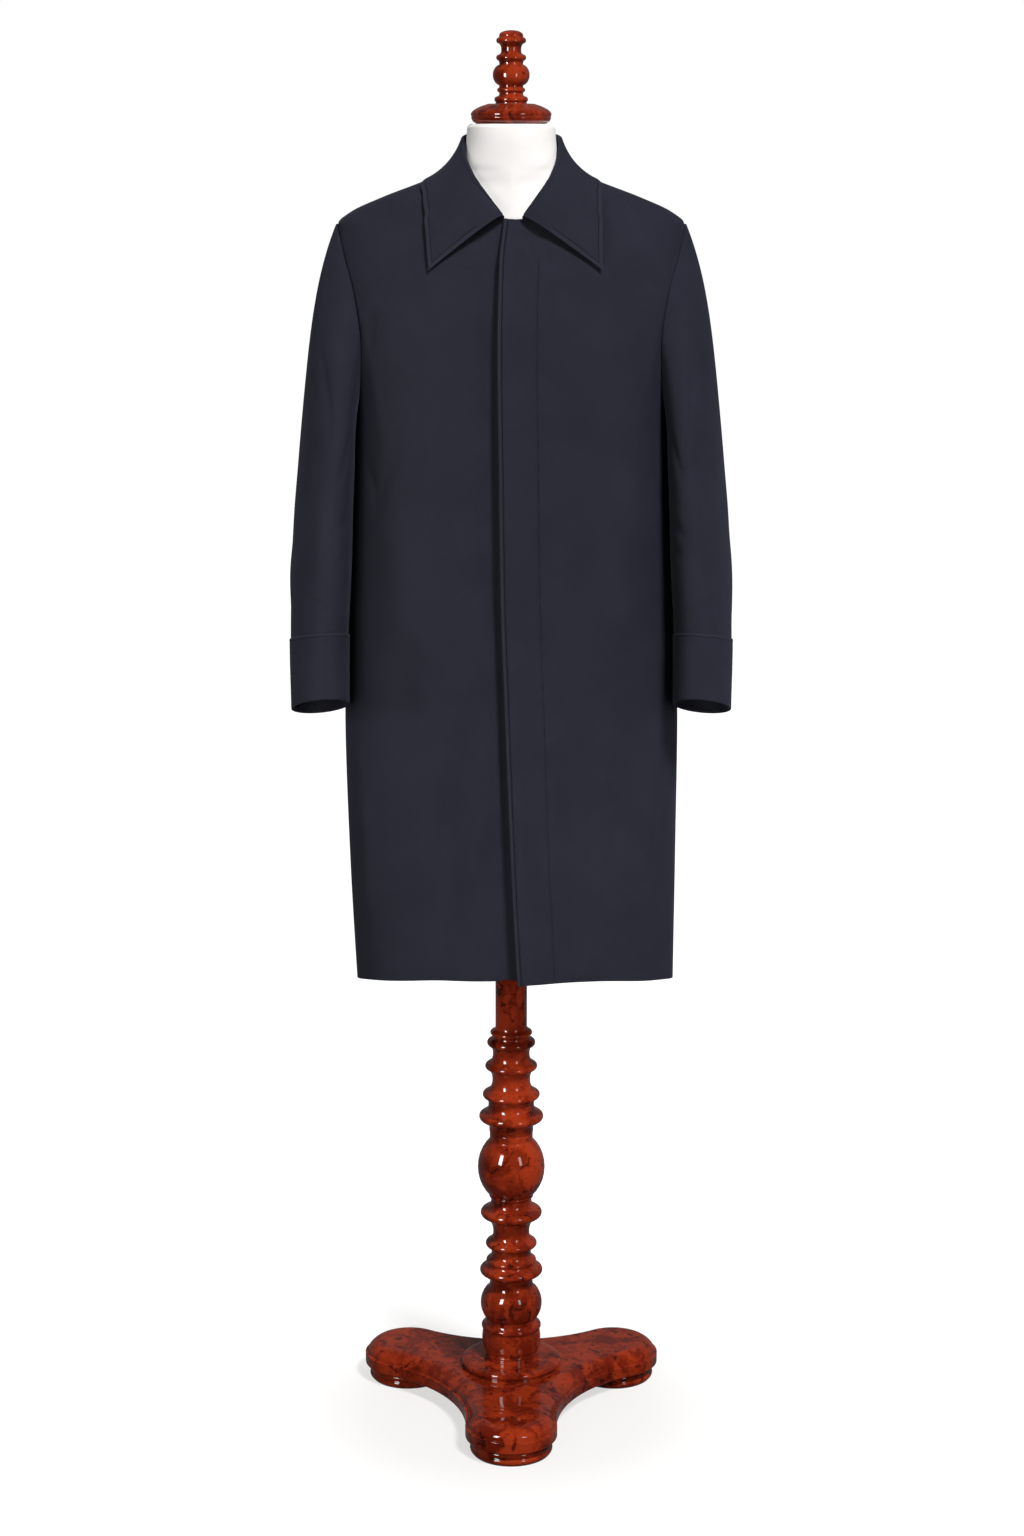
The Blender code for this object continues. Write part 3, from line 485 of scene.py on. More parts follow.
def cloth_wall(name, sheet, thickness, stands_for, fold=0.0, press=0.0, tube=False):
    """A closed wall of cloth below a sheet: folds move both sides, pressed lines the outer side only.

    Gives the piece, the outer side as a grid and the sheet's normals, and notes the sheet's sizes.
    """
    out = sheet_normals(sheet, tube)
    lip = edge_lip(sheet, thickness, tube)
    outer = sheet + out * np.asarray(fold + press - lip)[..., None]
    inner = sheet + out * np.broadcast_to(fold - thickness, lip.shape)[..., None]
    grids = [close_round(grid) if tube else grid for grid in (outer, inner)]
    rows, columns = grids[0].shape[:2]
    count = rows * columns
    number = np.arange(count).reshape(rows, columns)
    ends = [number[0], number[-1, ::-1]] if tube else [
        np.concatenate([number[0], number[1:, -1], number[-1, -2::-1], number[-2::-1, 0]])
    ]
    rims = [np.stack([e[:-1], e[1:], e[1:] + count, e[:-1] + count], axis=-1) for e in ends]
    faces = np.concatenate([grid_faces(rows, columns), grid_faces(rows, columns)[:, ::-1] + count, *rims])
    cut = np.stack([run_lengths(grids[0], 1), run_lengths(grids[0], 0)], axis=-1).reshape(-1, 2)
    points = np.concatenate([grid.reshape(-1, 3) for grid in grids])
    # painted light mask: up to 1 on a plump edge, for a painted highlight, and -1 in a stitches' groove, for
    # painted shade
    painted_rim_light_and_groove_shade = np.where(np.asarray(press) < 0, press / GROOVE, press / PLUMP) + np.zeros(lip.shape)
    painted_rim_light_and_groove_shade = np.tile((close_round(painted_rim_light_and_groove_shade) if tube else painted_rim_light_and_groove_shade).ravel(), 2)
    piece = add_piece(name, points, faces, cloth_finish, "coat_cloth", stands_for, np.tile(cut, (2, 1)), painted_rim_light_and_groove_shade)
    up, across = np.diff(grids[0], axis=0)[:, :-1], np.diff(grids[0], axis=1)[:-1]
    area = np.linalg.norm(np.cross(up, across), axis=-1).sum()
    measures[name] = (cut[:, 0].max(), cut[:, 1].max(), area)
    return piece, outer, out


# %% [markdown]
# ## Creases
# Cloth that hangs still shows soft troughs and ridges: drags that run to the armholes, folds below the
# collar, long hollows in the skirt. Each is one row of a table, drawn from one end to the other with its
# own bow, width and depth, and no two are alike. A bell curve across the stroke keeps it soft.


# %% Crease formula
SWELL_POWER = 1.2  # above 1, a crease starts and ends softly


def creases(across, along, strokes):
    """Height of soft strokes: a bell across each bowed line, swelling from nothing at its ends."""
    height = np.zeros(np.broadcast(across, along).shape)
    for a0, l0, a1, l1, bow, width, out in zip(*strokes.values()):
        length = math.hypot(a1 - a0, l1 - l0)
        t = ((across - a0) * (a1 - a0) + (along - l0) * (l1 - l0)) / length**2
        aside = ((across - a0) * (l1 - l0) - (along - l0) * (a1 - a0)) / length
        inside = np.clip(t, 0.0, 1.0)
        swell = np.sin(np.pi * inside) ** SWELL_POWER
        height = height + out * swell * bell(aside - 4 * bow * inside * (1 - inside), width)
    return height


STROKE = "x0 z0 x1 z1 bow width out"
LEFT_FRONT_CREASES = table(
    STROKE,
    (0.010, 1.552, 0.064, 1.488, 0.002, 0.0100, -0.0052),
    (0.014, 1.532, -0.006, 1.462, 0.002, 0.0050, -0.0022),
    (0.024, 1.530, 0.040, 1.486, 0.001, 0.0045, -0.0016),
    (0.158, 1.500, 0.184, 1.462, 0.002, 0.0065, -0.0022),
    (0.152, 1.462, 0.174, 1.405, 0.003, 0.0070, -0.0020),
    (0.100, 1.430, 0.084, 1.150, 0.006, 0.0200, 0.0025),
    (0.148, 1.300, 0.166, 1.160, 0.006, 0.0150, -0.0025),
    (0.175, 1.256, 0.167, 1.200, 0.001, 0.0040, -0.0016),
    (0.044, 1.060, 0.052, 0.925, 0.002, 0.0070, -0.0013),
    (0.110, 1.080, 0.090, 0.830, 0.006, 0.0180, 0.0023),
    (0.155, 0.945, 0.132, 0.720, 0.004, 0.0150, -0.0060),
    (0.190, 0.940, 0.157, 0.640, 0.005, 0.0130, 0.0052),
    (0.052, 0.915, 0.052, 0.690, -0.004, 0.0120, -0.0032),
)
RIGHT_FRONT_CREASES = table(
    STROKE,
    (-0.014, 1.550, -0.064, 1.488, -0.002, 0.0100, -0.0036),
    (-0.164, 1.440, -0.177, 1.376, 0.002, 0.0055, -0.0025),
    (-0.142, 1.498, -0.168, 1.452, -0.002, 0.0080, -0.0018),
    (-0.094, 1.410, -0.078, 1.100, 0.008, 0.0200, 0.0023),
    (-0.128, 1.305, -0.162, 1.195, 0.005, 0.0085, -0.0032),
    (-0.178, 1.272, -0.164, 1.185, -0.002, 0.0040, -0.0018),
    (-0.120, 1.070, -0.136, 0.840, 0.004, 0.0180, -0.0040),
    (-0.036, 0.985, -0.092, 0.640, 0.010, 0.0150, -0.0085),
    (-0.028, 0.870, -0.054, 0.660, 0.004, 0.0110, 0.0046),
    (-0.188, 0.900, -0.182, 0.640, -0.003, 0.0100, 0.0025),
)
BACK_CREASES = table(
    STROKE,
    (-0.118, 1.500, -0.166, 1.400, 0.003, 0.0080, -0.0022),
    (0.112, 1.492, 0.170, 1.384, 0.004, 0.0090, -0.0025),
    (-0.060, 1.470, -0.150, 1.345, -0.006, 0.0120, -0.0018),
    (-0.028, 1.460, -0.046, 1.210, 0.006, 0.0180, 0.0023),
    (0.058, 1.430, 0.038, 1.180, -0.005, 0.0200, -0.0022),
    (0.001, 1.578, 0.003, 1.500, 0.001, 0.0100, -0.0014),
    (-0.104, 1.190, -0.070, 0.970, 0.006, 0.0160, -0.0031),
    (0.090, 1.160, 0.122, 0.960, -0.005, 0.0140, -0.0027),
    (0.032, 1.060, 0.020, 0.790, 0.004, 0.0150, 0.0027),
    (-0.150, 0.955, -0.128, 0.700, 0.006, 0.0120, -0.0031),
    (0.156, 0.935, 0.138, 0.715, -0.004, 0.0130, 0.0029),
)
print("creases:", *(len(t["out"]) for t in (LEFT_FRONT_CREASES, RIGHT_FRONT_CREASES, BACK_CREASES)))

# %% [markdown]
# ## The hanging body
# A coat on a form is a tube whose section goes from a rounded rectangle at the hem to a narrow oval at the
# neck. One formula gives the point at any turn about the post and any height: a superellipse with its half
# width and depths read from a table, soft flutes that grow down to the hem, and a hem that tips up in front.

# %% Sizes of the coat
WALL = 0.0020  # the cloth's thickness
SEAM = 0.00005  # air between two panels at a seam
FULLNESS = 2.3  # power of the sections: 2 is an ellipse, more is squarer
HEM, HIP, UNDERARM, SHOULDER_TIP = 0.583, 1.000, 1.300, 1.545
NECK_FRONT, NECK_BACK, NECK_SIDE, NECK_HALF = 1.5515, 1.5980, 1.6120, 0.0730
NECK_REACH = math.radians(88.0)  # the panels' necklines stop short of the shoulder seam's top
NECK_STEPS = 120  # points in which a neckline is worked out
HEM_LIFT, HEM_SWAY, LEFT_DROP = 0.028, 0.005, 0.004
BODY = table(
    "z half_width front back",
    (0.560, 0.2035, 0.1190, 0.1310),
    (0.750, 0.2085, 0.1210, 0.1300),
    (0.920, 0.2110, 0.1230, 0.1285),
    (1.080, 0.2040, 0.1250, 0.1260),
    (1.200, 0.1980, 0.1270, 0.1240),
    (1.300, 0.1950, 0.1280, 0.1230),
    (1.400, 0.2020, 0.1220, 0.1210),
    (1.480, 0.2110, 0.1080, 0.1130),
    (1.545, 0.2125, 0.0760, 0.0880),
    (1.5585, 0.1975, 0.0690, 0.0800),
    (1.577, 0.1570, 0.0590, 0.0710),
    (1.596, 0.1070, 0.0500, 0.0640),
    (1.612, 0.0725, 0.0440, 0.0600),
)
ARMHOLE = table(
    "z front back",
    (1.300, 0.1950, 0.1950),
    (1.325, 0.1880, 0.1890),
    (1.360, 0.1840, 0.1870),
    (1.400, 0.1830, 0.1880),
    (1.459, 0.1900, 0.1950),
    (1.508, 0.2036, 0.2060),
    (1.545, 0.2125, 0.2125),
)
FRONT_EDGE = table(
    "z x",
    (0.583, 0.0025),
    (0.750, -0.0020),
    (0.950, -0.0076),
    (1.100, -0.0126),
    (1.250, -0.0145),
    (1.400, -0.0160),
    (1.500, -0.0140),
    (1.5515, -0.0085),
)
UNDERLAP_EDGE = 0.045
LAP = table("z out", (0.583, 0.0062), (1.30, 0.0062), (1.45, 0.0050), (1.56, 0.0030), (1.612, 0.0))
LAP_REACH, LAP_FADE = 0.115, 3.0
UNDER_IN, UNDER_REACH = 0.0012, 0.060
FOLDS = table(
    "hem_turn top_turn top_z width out",
    (-50, -56, 0.98, 12, 0.0030),
    (-26, -13, 1.05, 9, -0.0040),
    (13, 11, 1.02, 9, -0.0032),
    (49, 55, 1.02, 12, 0.0042),
    (118, 112, 1.00, 14, 0.0040),
    (150, 154, 1.02, 12, -0.0045),
    (178, 180, 1.08, 12, 0.0042),
    (-146, -150, 1.00, 13, -0.0040),
    (-115, -110, 0.96, 14, 0.0035),
)
FOLD_GROWTH = 1.3


# %% Formulas of the hanging body
def hang(z):
    """1 at the hem, 0 at the hip and above."""
    return np.clip((HIP - z) / (HIP - HEM), 0.0, 1.0) ** 2


def flutes(turn, z):
    """How far the skirt's folds stand out: a bell across each, growing down to the hem."""
    degrees = np.degrees(turn)
    out = np.zeros(np.broadcast(turn, z).shape)
    for hem_turn, top_turn, top_z, width, depth in zip(*FOLDS.values()):
        grow = np.maximum((top_z - z) / (top_z - HEM), 0.0)
        across = degrees - (top_turn + (hem_turn - top_turn) * grow)
        across = (across + 180.0) % 360.0 - 180.0
        out = out + depth * grow**FOLD_GROWTH * bell(across, width)
    return out


def body(turn, z, out=0.0):
    """The coat's surface: turn is 0 at centre front, +-pi/2 at the sides and pi at centre back."""
    sine, cosine = np.sin(turn), np.cos(turn)
    out = out + flutes(turn, z)
    depth = np.where(cosine > 0, read(BODY, "front", z), read(BODY, "back", z)) + out
    half = read(BODY, "half_width", z) + out
    x = half * signed_power(sine, 2 / FULLNESS) + HEM_SWAY * hang(z)
    y = -depth * signed_power(cosine, 2 / FULLNESS)
    lift = HEM_LIFT * hang(z) * np.maximum(cosine, 0.0) ** (2 / FULLNESS)
    return np.stack(np.broadcast_arrays(x, y, z + lift), axis=-1)


def turn_at(x, z):
    """The turn at which the front of the body is x from the centre line."""
    share = np.clip(np.abs(x) / read(BODY, "half_width", z), 0.0, 1.0)
    return np.sign(x) * np.arcsin(share ** (FULLNESS / 2))


def front(side, turn, z):
    """A front: side +1 is the left front, which laps over, and -1 the right front below it."""
    x = read(BODY, "half_width", z) * signed_power(np.sin(turn), 2 / FULLNESS)
    ahead = ease(LAP_FADE * np.cos(turn))
    if side > 0:
        near_edge = ahead * (1 - ease((x - read(FRONT_EDGE, "x", z)) / LAP_REACH))
        point = body(turn, z, read(LAP, "out", z) * near_edge)
        point[..., 2] -= LEFT_DROP * hang(z) * near_edge
        return point
    return body(turn, z, -UNDER_IN * ahead * ease((x + UNDER_REACH) / UNDER_REACH))


def seam_end(z, column):
    """The turn where a panel's row ends: at the side seam, the armhole or the shoulder seam."""
    end = np.arccos((SEAM / 2 / read(BODY, "front", z)) ** (FULLNESS / 2))
    in_armhole = (z > UNDERARM) & (z < SHOULDER_TIP)
    return np.where(in_armhole, np.minimum(turn_at(read(ARMHOLE, column, z), z), end), end)


def neck_height(turn, low):
    """Height of the neckline at a turn: a quarter ellipse from its low point up to the shoulder."""
    angle = np.linspace(0.0, NECK_REACH, NECK_STEPS)
    z = NECK_SIDE - (NECK_SIDE - low) * np.cos(angle)
    return np.interp(turn, turn_at(NECK_HALF * np.sin(angle), z), z)


print("coat length at the side:", round(SHOULDER_TIP - HEM, 3), "m; hem round:",
      round(float(run_lengths(body(np.linspace(0, math.tau, 400), HEM)[None], 1)[0, -1]), 3), "m")

# %% [markdown]
# ## Fronts and back
# A panel's rows run from its free edge or centre to its seam, and its columns from the hem to the neckline.
# The columns stay at fixed distances from the front edge, so that the edge stitching and the fly's stitching
# lie on grid lines: there the cloth is pressed into a shallow groove, with a plump edge beside it.

# %% Panel grids
EDGE_STITCH = 0.005  # from the front edge to its row of stitches
FLY_STITCH, FLY_GROOVE = 0.048, 0.00055  # to the row that holds the fly's button band, and its depth
BESIDE = np.array([-2.2, -1.2, -0.5, 0.0, 0.5, 1.2, 2.2]) / 1000  # columns beside a row of stitches
FREE_COLUMNS = np.concatenate([
    [0.0, 0.0003, 0.0007, 0.0012, 0.0019], EDGE_STITCH + BESIDE, np.linspace(0.010, 0.042, 12),
    FLY_STITCH + BESIDE, [0.0515, 0.0545, 0.059],
])
PANEL_TOP = NECK_SIDE - (NECK_SIDE - NECK_FRONT) * math.cos(NECK_REACH)
EVEN_COLUMNS, BACK_COLUMNS = 42, 116
EVEN_SPAN, BACK_SPAN = 0.15, 0.22  # about how wide the evenly spread columns are
NECK_PASSES = 6  # after these the neckline's heights and turns agree
PANEL_ROWS = np.concatenate([
    HEM + EDGE_STEPS, np.linspace(HEM + 0.010, UNDERARM, 112), np.linspace(UNDERARM, SHOULDER_TIP, 52)[1:],
    np.linspace(SHOULDER_TIP, PANEL_TOP - EDGE_STEPS[-1], 28)[1:], PANEL_TOP - EDGE_STEPS[-2::-1],
])


def even_between(count, length):
    """Shares from 0 to 1: close together at the end, where a seam's lip needs them, even before it."""
    even = np.linspace(0.0, 1 - EDGE_STEPS[-1] / length, count)
    return np.concatenate([even, 1 - EDGE_STEPS[-2::-1] / length])


def panel_heights(turn_of, low):
    """Heights of a panel's grid: each column runs from the hem to the neckline at its own turn."""
    top = np.full(turn_of(PANEL_ROWS[-1:, None]).shape, PANEL_TOP)
    for _ in range(NECK_PASSES):
        top = neck_height(turn_of(top), low)
    return HEM + (top - HEM) * ((PANEL_ROWS - HEM) / (PANEL_TOP - HEM))[:, None]


def front_turns(side, z):
    """Turns of a front's columns at heights z: at fixed distances from the edge, then even to the seam."""
    edge = read(FRONT_EDGE, "x", z) if side > 0 else np.full(np.shape(z), -UNDERLAP_EDGE)
    share = even_between(EVEN_COLUMNS, EVEN_SPAN)[1:]
    fixed = turn_at(edge[:, : len(FREE_COLUMNS)] + FREE_COLUMNS, z[:, : len(FREE_COLUMNS)])
    z_even = z[:, -len(share):]
    last = turn_at(edge[:, -len(share):] + FREE_COLUMNS[-1], z_even)
    return np.concatenate([fixed, last + (seam_end(z_even, "front") - last) * share], axis=1)


def front_grid(side):
    """Turns and heights of a front panel's grid."""
    columns = len(FREE_COLUMNS) + len(even_between(EVEN_COLUMNS, EVEN_SPAN)) - 1

    def turns(z):
        """Every column's turn at each row's heights."""
        return front_turns(side, np.broadcast_to(z, (len(z), columns)))

    z = panel_heights(turns, NECK_FRONT)
    return turns(z), z


def stitched_edge(away, line):
    """An edge sewn down along a line: full between the edge and the stitches, with a groove below them."""
    full = PLUMP * bell(away - PLUMP_AT * line, PLUMP_WIDTH * line)
    return full - GROOVE * bell(away - line, GROOVE_WIDTH)


PUCKERS = table("share length phase", (1.0, 0.0031, 0.0), (0.8, 0.0047, 1.3), (0.6, 0.0019, 0.4))
PUCKER_OUT, PUCKER_WIDTH = 0.00016, 0.007
PUCKER_LEAST, PUCKER_MIDDLE, PUCKER_REACH = 0.35, 0.97, 0.10  # they are strongest at about hip height


def fly_puckers(away, z):
    """Small ripples where the fly's stitches draw the cloth up: uneven waves along the row."""
    waves = sum(share * np.sin(z / length + phase) for share, length, phase in zip(*PUCKERS.values()))
    strength = PUCKER_LEAST + (1 - PUCKER_LEAST) * bell(z - PUCKER_MIDDLE, PUCKER_REACH)
    return PUCKER_OUT * waves * strength * bell(away - FLY_STITCH, PUCKER_WIDTH)


SEAM_FADE = 0.018  # creases end this far from a seam, so that two panels meet
LAP_LIFT, LAP_LIFT_WIDTH = 0.0030, 0.018  # the lapping edge stands off its front
LAP_HOLLOW, LAP_HOLLOW_WIDTH = 0.0070, 0.011  # and the front below sinks beside it
LAP_HOLLOW_TOP, LAP_HOLLOW_FADE = 1.490, 0.05  # up to here, and less above it


# %% Fronts
def make_front(side, name, strokes):
    """A front panel: creases on both, stitched edges and a lifted lap on the left, a hollow on the right."""
    turn, z = front_grid(side)
    sheet = front(side, side * turn, z)
    if side < 0:
        sheet = sheet[:, ::-1]
    across = run_lengths(sheet, 1)
    to_seam = across[:, -1:] - across if side > 0 else across
    fold = creases(sheet[..., 0], sheet[..., 2], strokes) * ease(to_seam / SEAM_FADE)
    press = 0.0
    if side > 0:
        away = sheet[..., 0] - sheet[:, :1, 0]
        press = stitched_edge(away, EDGE_STITCH) - FLY_GROOVE * bell(away - FLY_STITCH, GROOVE_WIDTH)
        press = press + fly_puckers(away, z)
        fold = fold + LAP_LIFT * (1 - ease(away / LAP_LIFT_WIDTH))
    else:
        beside = sheet[..., 0] - read(FRONT_EDGE, "x", sheet[..., 2]) + LAP_HOLLOW_WIDTH / 2
        below_neck = 1 - ease((sheet[..., 2] - LAP_HOLLOW_TOP) / LAP_HOLLOW_FADE)
        fold = fold - LAP_HOLLOW * bell(beside, LAP_HOLLOW_WIDTH) * below_neck
    return cloth_wall("coat_" + name, sheet, WALL, name, fold, press)


left_front, left_outer, left_out = make_front(1, "front_left", LEFT_FRONT_CREASES)
right_front, _, _ = make_front(-1, "front_right", RIGHT_FRONT_CREASES)


# %% Back
def make_back():
    """One grid from the right side seam over centre back to the left one."""
    half = even_between(BACK_COLUMNS // 2, BACK_SPAN)
    share = np.concatenate([-half[:0:-1], half])

    def turns(z):
        """A share of the way from centre back to the side seam."""
        return np.pi - share * seam_end(z, "back")

    def from_centre(z):
        """Turns counted from centre back, alike on both sides."""
        return np.abs(np.pi - turns(z))

    z = panel_heights(from_centre, NECK_BACK)
    sheet = body(turns(z), z)[:, ::-1]
    across = run_lengths(sheet, 1)
    to_seam = np.minimum(across, across[:, -1:] - across)
    fold = creases(sheet[..., 0], sheet[..., 2], BACK_CREASES) * ease(to_seam / SEAM_FADE)
    return cloth_wall("coat_back", sheet, WALL, "back", fold)


back, _, _ = make_back()

# %% [markdown]
# ## Sleeves and cuffs
# A set-in sleeve starts on the armhole seam and swings over into an oval arm that hangs a little forward. The
# head follows Hermite curves from the seam to the first oval. The turn-back cuff is the sleeve's own surface
# moved out, sewn down near its upper edge, and a curved seam runs down to it on the front of the forearm.

# %% Sizes of the sleeves
SLEEVE = table(
    "u z x y half_x half_y turn tilt",
    (0.30, 1.2500, 0.2308, -0.0080, 0.0320, 0.0880, 14, 3),
    (0.45, 1.1850, 0.2351, -0.0130, 0.0338, 0.0890, 14, 6),
    (0.60, 1.1200, 0.2375, -0.0225, 0.0350, 0.0850, 14, 9),
    (0.80, 1.0300, 0.2400, -0.0405, 0.0346, 0.0740, 13, 13),
    (1.00, 0.9523, 0.2384, -0.0640, 0.0344, 0.0620, 12, 18.2),
)
SLEEVE_HEAD_END = SLEEVE["u"][0]
SLEEVE_END, SLEEVE_GAP = 0.997, 0.0004
HEAD_OUT, HEAD_OUT_TOP, HEAD_SPREAD, HEAD_DOWN = 0.23, 0.13, 0.25, 0.85
CUFF_START, CUFF_WALL, CUFF_GAP, CUFF_STAND_OFF = 0.785, 0.0013, 0.0002, 0.0001
CUFF_STITCH, CUFF_PRESS = 0.006, 0.55  # its edge is sewn flatter than the others
STEP = 2e-3
SLEEVE_COLUMNS, SLEEVE_ROWS, CUFF_ROWS = 112, 190, 44
SLEEVE_LENGTH = 0.60  # shoulder tip to wrist along the arm, for the places of creases
SLEEVE_ROUND = 0.064  # mean radius of the arm, for the same
TURNING_ROWS = np.array([9.0, 7.0, 5.0, 3.0, 1.5, 0.6]) / 1000  # rows of the seam's turning, from its edge
TURNING_DEPTH, TURNING_ROUND, TURNING_SLOPE = 0.0028, 0.13, 0.7
SEAM_ROLL, ROLL_STEPS = 0.0022, 7  # radius of the rolled edge at the armhole


# %% Formulas of the sleeve
def armhole_place(angle):
    """Turn and height on the left armhole: angle 0 is the shoulder tip, pi/2 the front, pi the underarm."""
    z = UNDERARM + (SHOULDER_TIP - UNDERARM) * (1 + np.cos(angle)) / 2
    in_front = np.sin(angle) >= 0
    x = np.where(in_front, read(ARMHOLE, "front", z), read(ARMHOLE, "back", z))
    return np.where(in_front, turn_at(x, z), np.pi - turn_at(x, z)), z


def armhole_loop(angle):
    """The sleeve's first ring, just outside the panels' edges."""
    point = body(*armhole_place(angle))
    point[..., 0] += SLEEVE_GAP + WALL * np.maximum(np.cos(angle), 0.0)
    return point


def sleeve_ring(angle, u):
    """A section of the arm: an ellipse, turned about the post and tilted up in front."""
    turn, tilt = (np.radians(read(SLEEVE, name, u, "u")) for name in ("turn", "tilt"))
    wide = read(SLEEVE, "half_x", u, "u") * np.cos(angle)
    deep = read(SLEEVE, "half_y", u, "u") * np.sin(angle)
    x = read(SLEEVE, "x", u, "u") + wide * np.cos(turn) - deep * np.sin(turn) * np.cos(tilt)
    y = read(SLEEVE, "y", u, "u") - wide * np.sin(turn) - deep * np.cos(turn) * np.cos(tilt)
    z = read(SLEEVE, "z", u, "u") + deep * np.sin(tilt)
    return np.stack(np.broadcast_arrays(x, y, z), axis=-1)


def sleeve(angle, u):
    """The left sleeve: from the armhole along Hermite curves to the arm's sections, then down."""
    angle, u = np.broadcast_arrays(np.asarray(angle, float), np.asarray(u, float))
    t = np.clip(u / SLEEVE_HEAD_END, 0.0, 1.0)[..., None]
    top = armhole_loop(angle)
    upper_arm = sleeve_ring(angle, np.full_like(u, SLEEVE_HEAD_END))
    just_below = sleeve_ring(angle, np.full_like(u, SLEEVE_HEAD_END + STEP))
    length = np.linalg.norm(upper_arm - top, axis=-1, keepdims=True)
    outward = HEAD_OUT + HEAD_OUT_TOP * np.cos(angle)
    backward = -HEAD_SPREAD * np.sin(angle)
    leave = length * unit(np.stack([outward, backward, np.full_like(outward, -HEAD_DOWN)], axis=-1))
    arrive = length * unit(just_below - upper_arm)
    head = (1 + 2 * t) * (1 - t) ** 2 * top + t**2 * (3 - 2 * t) * upper_arm
    head = head + t * (1 - t) ** 2 * leave - t**2 * (1 - t) * arrive
    return np.where((u > SLEEVE_HEAD_END)[..., None], sleeve_ring(angle, u), head)


def seam_turning(angle, inward):
    """The turning inside the armhole: the body's surface, moved in below the panels' walls."""
    turn, z = armhole_place(angle)
    turn = turn - np.sin(angle) * inward / TURNING_ROUND
    z = z + np.cos(angle) * inward * TURNING_SLOPE
    across = body(turn + STEP, z) - body(turn - STEP, z)
    up = body(turn, z + STEP) - body(turn, z - STEP)
    return body(turn, z) - unit(np.cross(across, up)) * TURNING_DEPTH


def head_share(angle, distance):
    """The share u at a small distance from the armhole, where the head's curves start at an even speed."""
    reach = sleeve_ring(angle, np.full_like(angle, SLEEVE_HEAD_END)) - armhole_loop(angle)
    return distance * SLEEVE_HEAD_END / np.linalg.norm(reach, axis=-1)


def rolled_seam(angle):
    """The sleeve's first rows: from the turning's free edge out to the seam, then up a quarter circle."""
    bend = np.linspace(0.0, np.pi / 2, ROLL_STEPS)[:, None]
    near = sleeve(angle, head_share(angle, SEAM_ROLL * (1 - np.cos(bend))))
    a_little_on = sleeve(angle, head_share(angle, SEAM_ROLL * (2 - np.cos(bend))))
    around = np.roll(near, -1, axis=1) - np.roll(near, 1, axis=1)
    inward = unit(np.cross(a_little_on - near, around))
    roll = near + inward * (SEAM_ROLL * (1 - np.sin(bend)))[..., None]
    return np.concatenate([seam_turning(angle, TURNING_ROWS[:, None]), roll])


SLEEVE_STROKE = "from_deg from_u to_deg to_u bow width out"
LEFT_SLEEVE_CREASES = table(
    SLEEVE_STROKE,
    (40, 0.10, 78, 0.30, 0.006, 0.0100, -0.0022),
    (122, 0.17, 88, 0.35, 0.004, 0.0085, -0.0020),
    (62, 0.30, 72, 0.66, 0.005, 0.0150, 0.0022),
    (132, 0.44, 84, 0.53, 0.004, 0.0110, -0.0015),
    (136, 0.52, 98, 0.58, 0.003, 0.0090, -0.0012),
    (240, 0.40, 306, 0.49, 0.005, 0.0090, -0.0023),
    (232, 0.50, 296, 0.56, 0.004, 0.0080, -0.0022),
    (286, 0.14, 262, 0.36, 0.005, 0.0120, -0.0022),
    (318, 0.48, 334, 0.74, 0.005, 0.0150, 0.0020),
)
RIGHT_SLEEVE_CREASES = table(
    SLEEVE_STROKE,
    (34, 0.13, 70, 0.26, 0.005, 0.0090, -0.0025),
    (112, 0.20, 82, 0.40, 0.005, 0.0080, -0.0018),
    (56, 0.36, 60, 0.72, 0.004, 0.0160, 0.0023),
    (134, 0.41, 90, 0.50, 0.004, 0.0110, -0.0016),
    (124, 0.55, 86, 0.62, 0.003, 0.0090, -0.0011),
    (236, 0.43, 300, 0.52, 0.005, 0.0085, -0.0022),
    (246, 0.54, 304, 0.59, 0.004, 0.0080, -0.0020),
    (292, 0.16, 270, 0.33, 0.005, 0.0110, -0.0023),
    (326, 0.52, 340, 0.70, 0.004, 0.0140, 0.0018),
)
CUFF_SEAMS = table(
    SLEEVE_STROKE,
    (24, 0.660, 132, 0.786, 0.004, 0.0016, -0.0011),
    (24, 0.675, 132, 0.801, 0.004, 0.0016, -0.0008),
)


def sleeve_creases(angle, u, strokes):
    """Strokes given in degrees round the arm and shares along it, read in metres."""
    metres = dict(strokes)
    for name in ("from_deg", "to_deg"):
        metres[name] = np.radians(strokes[name]) * SLEEVE_ROUND
    for name in ("from_u", "to_u"):
        metres[name] = strokes[name] * SLEEVE_LENGTH
    return creases(angle * SLEEVE_ROUND, u * SLEEVE_LENGTH, metres)


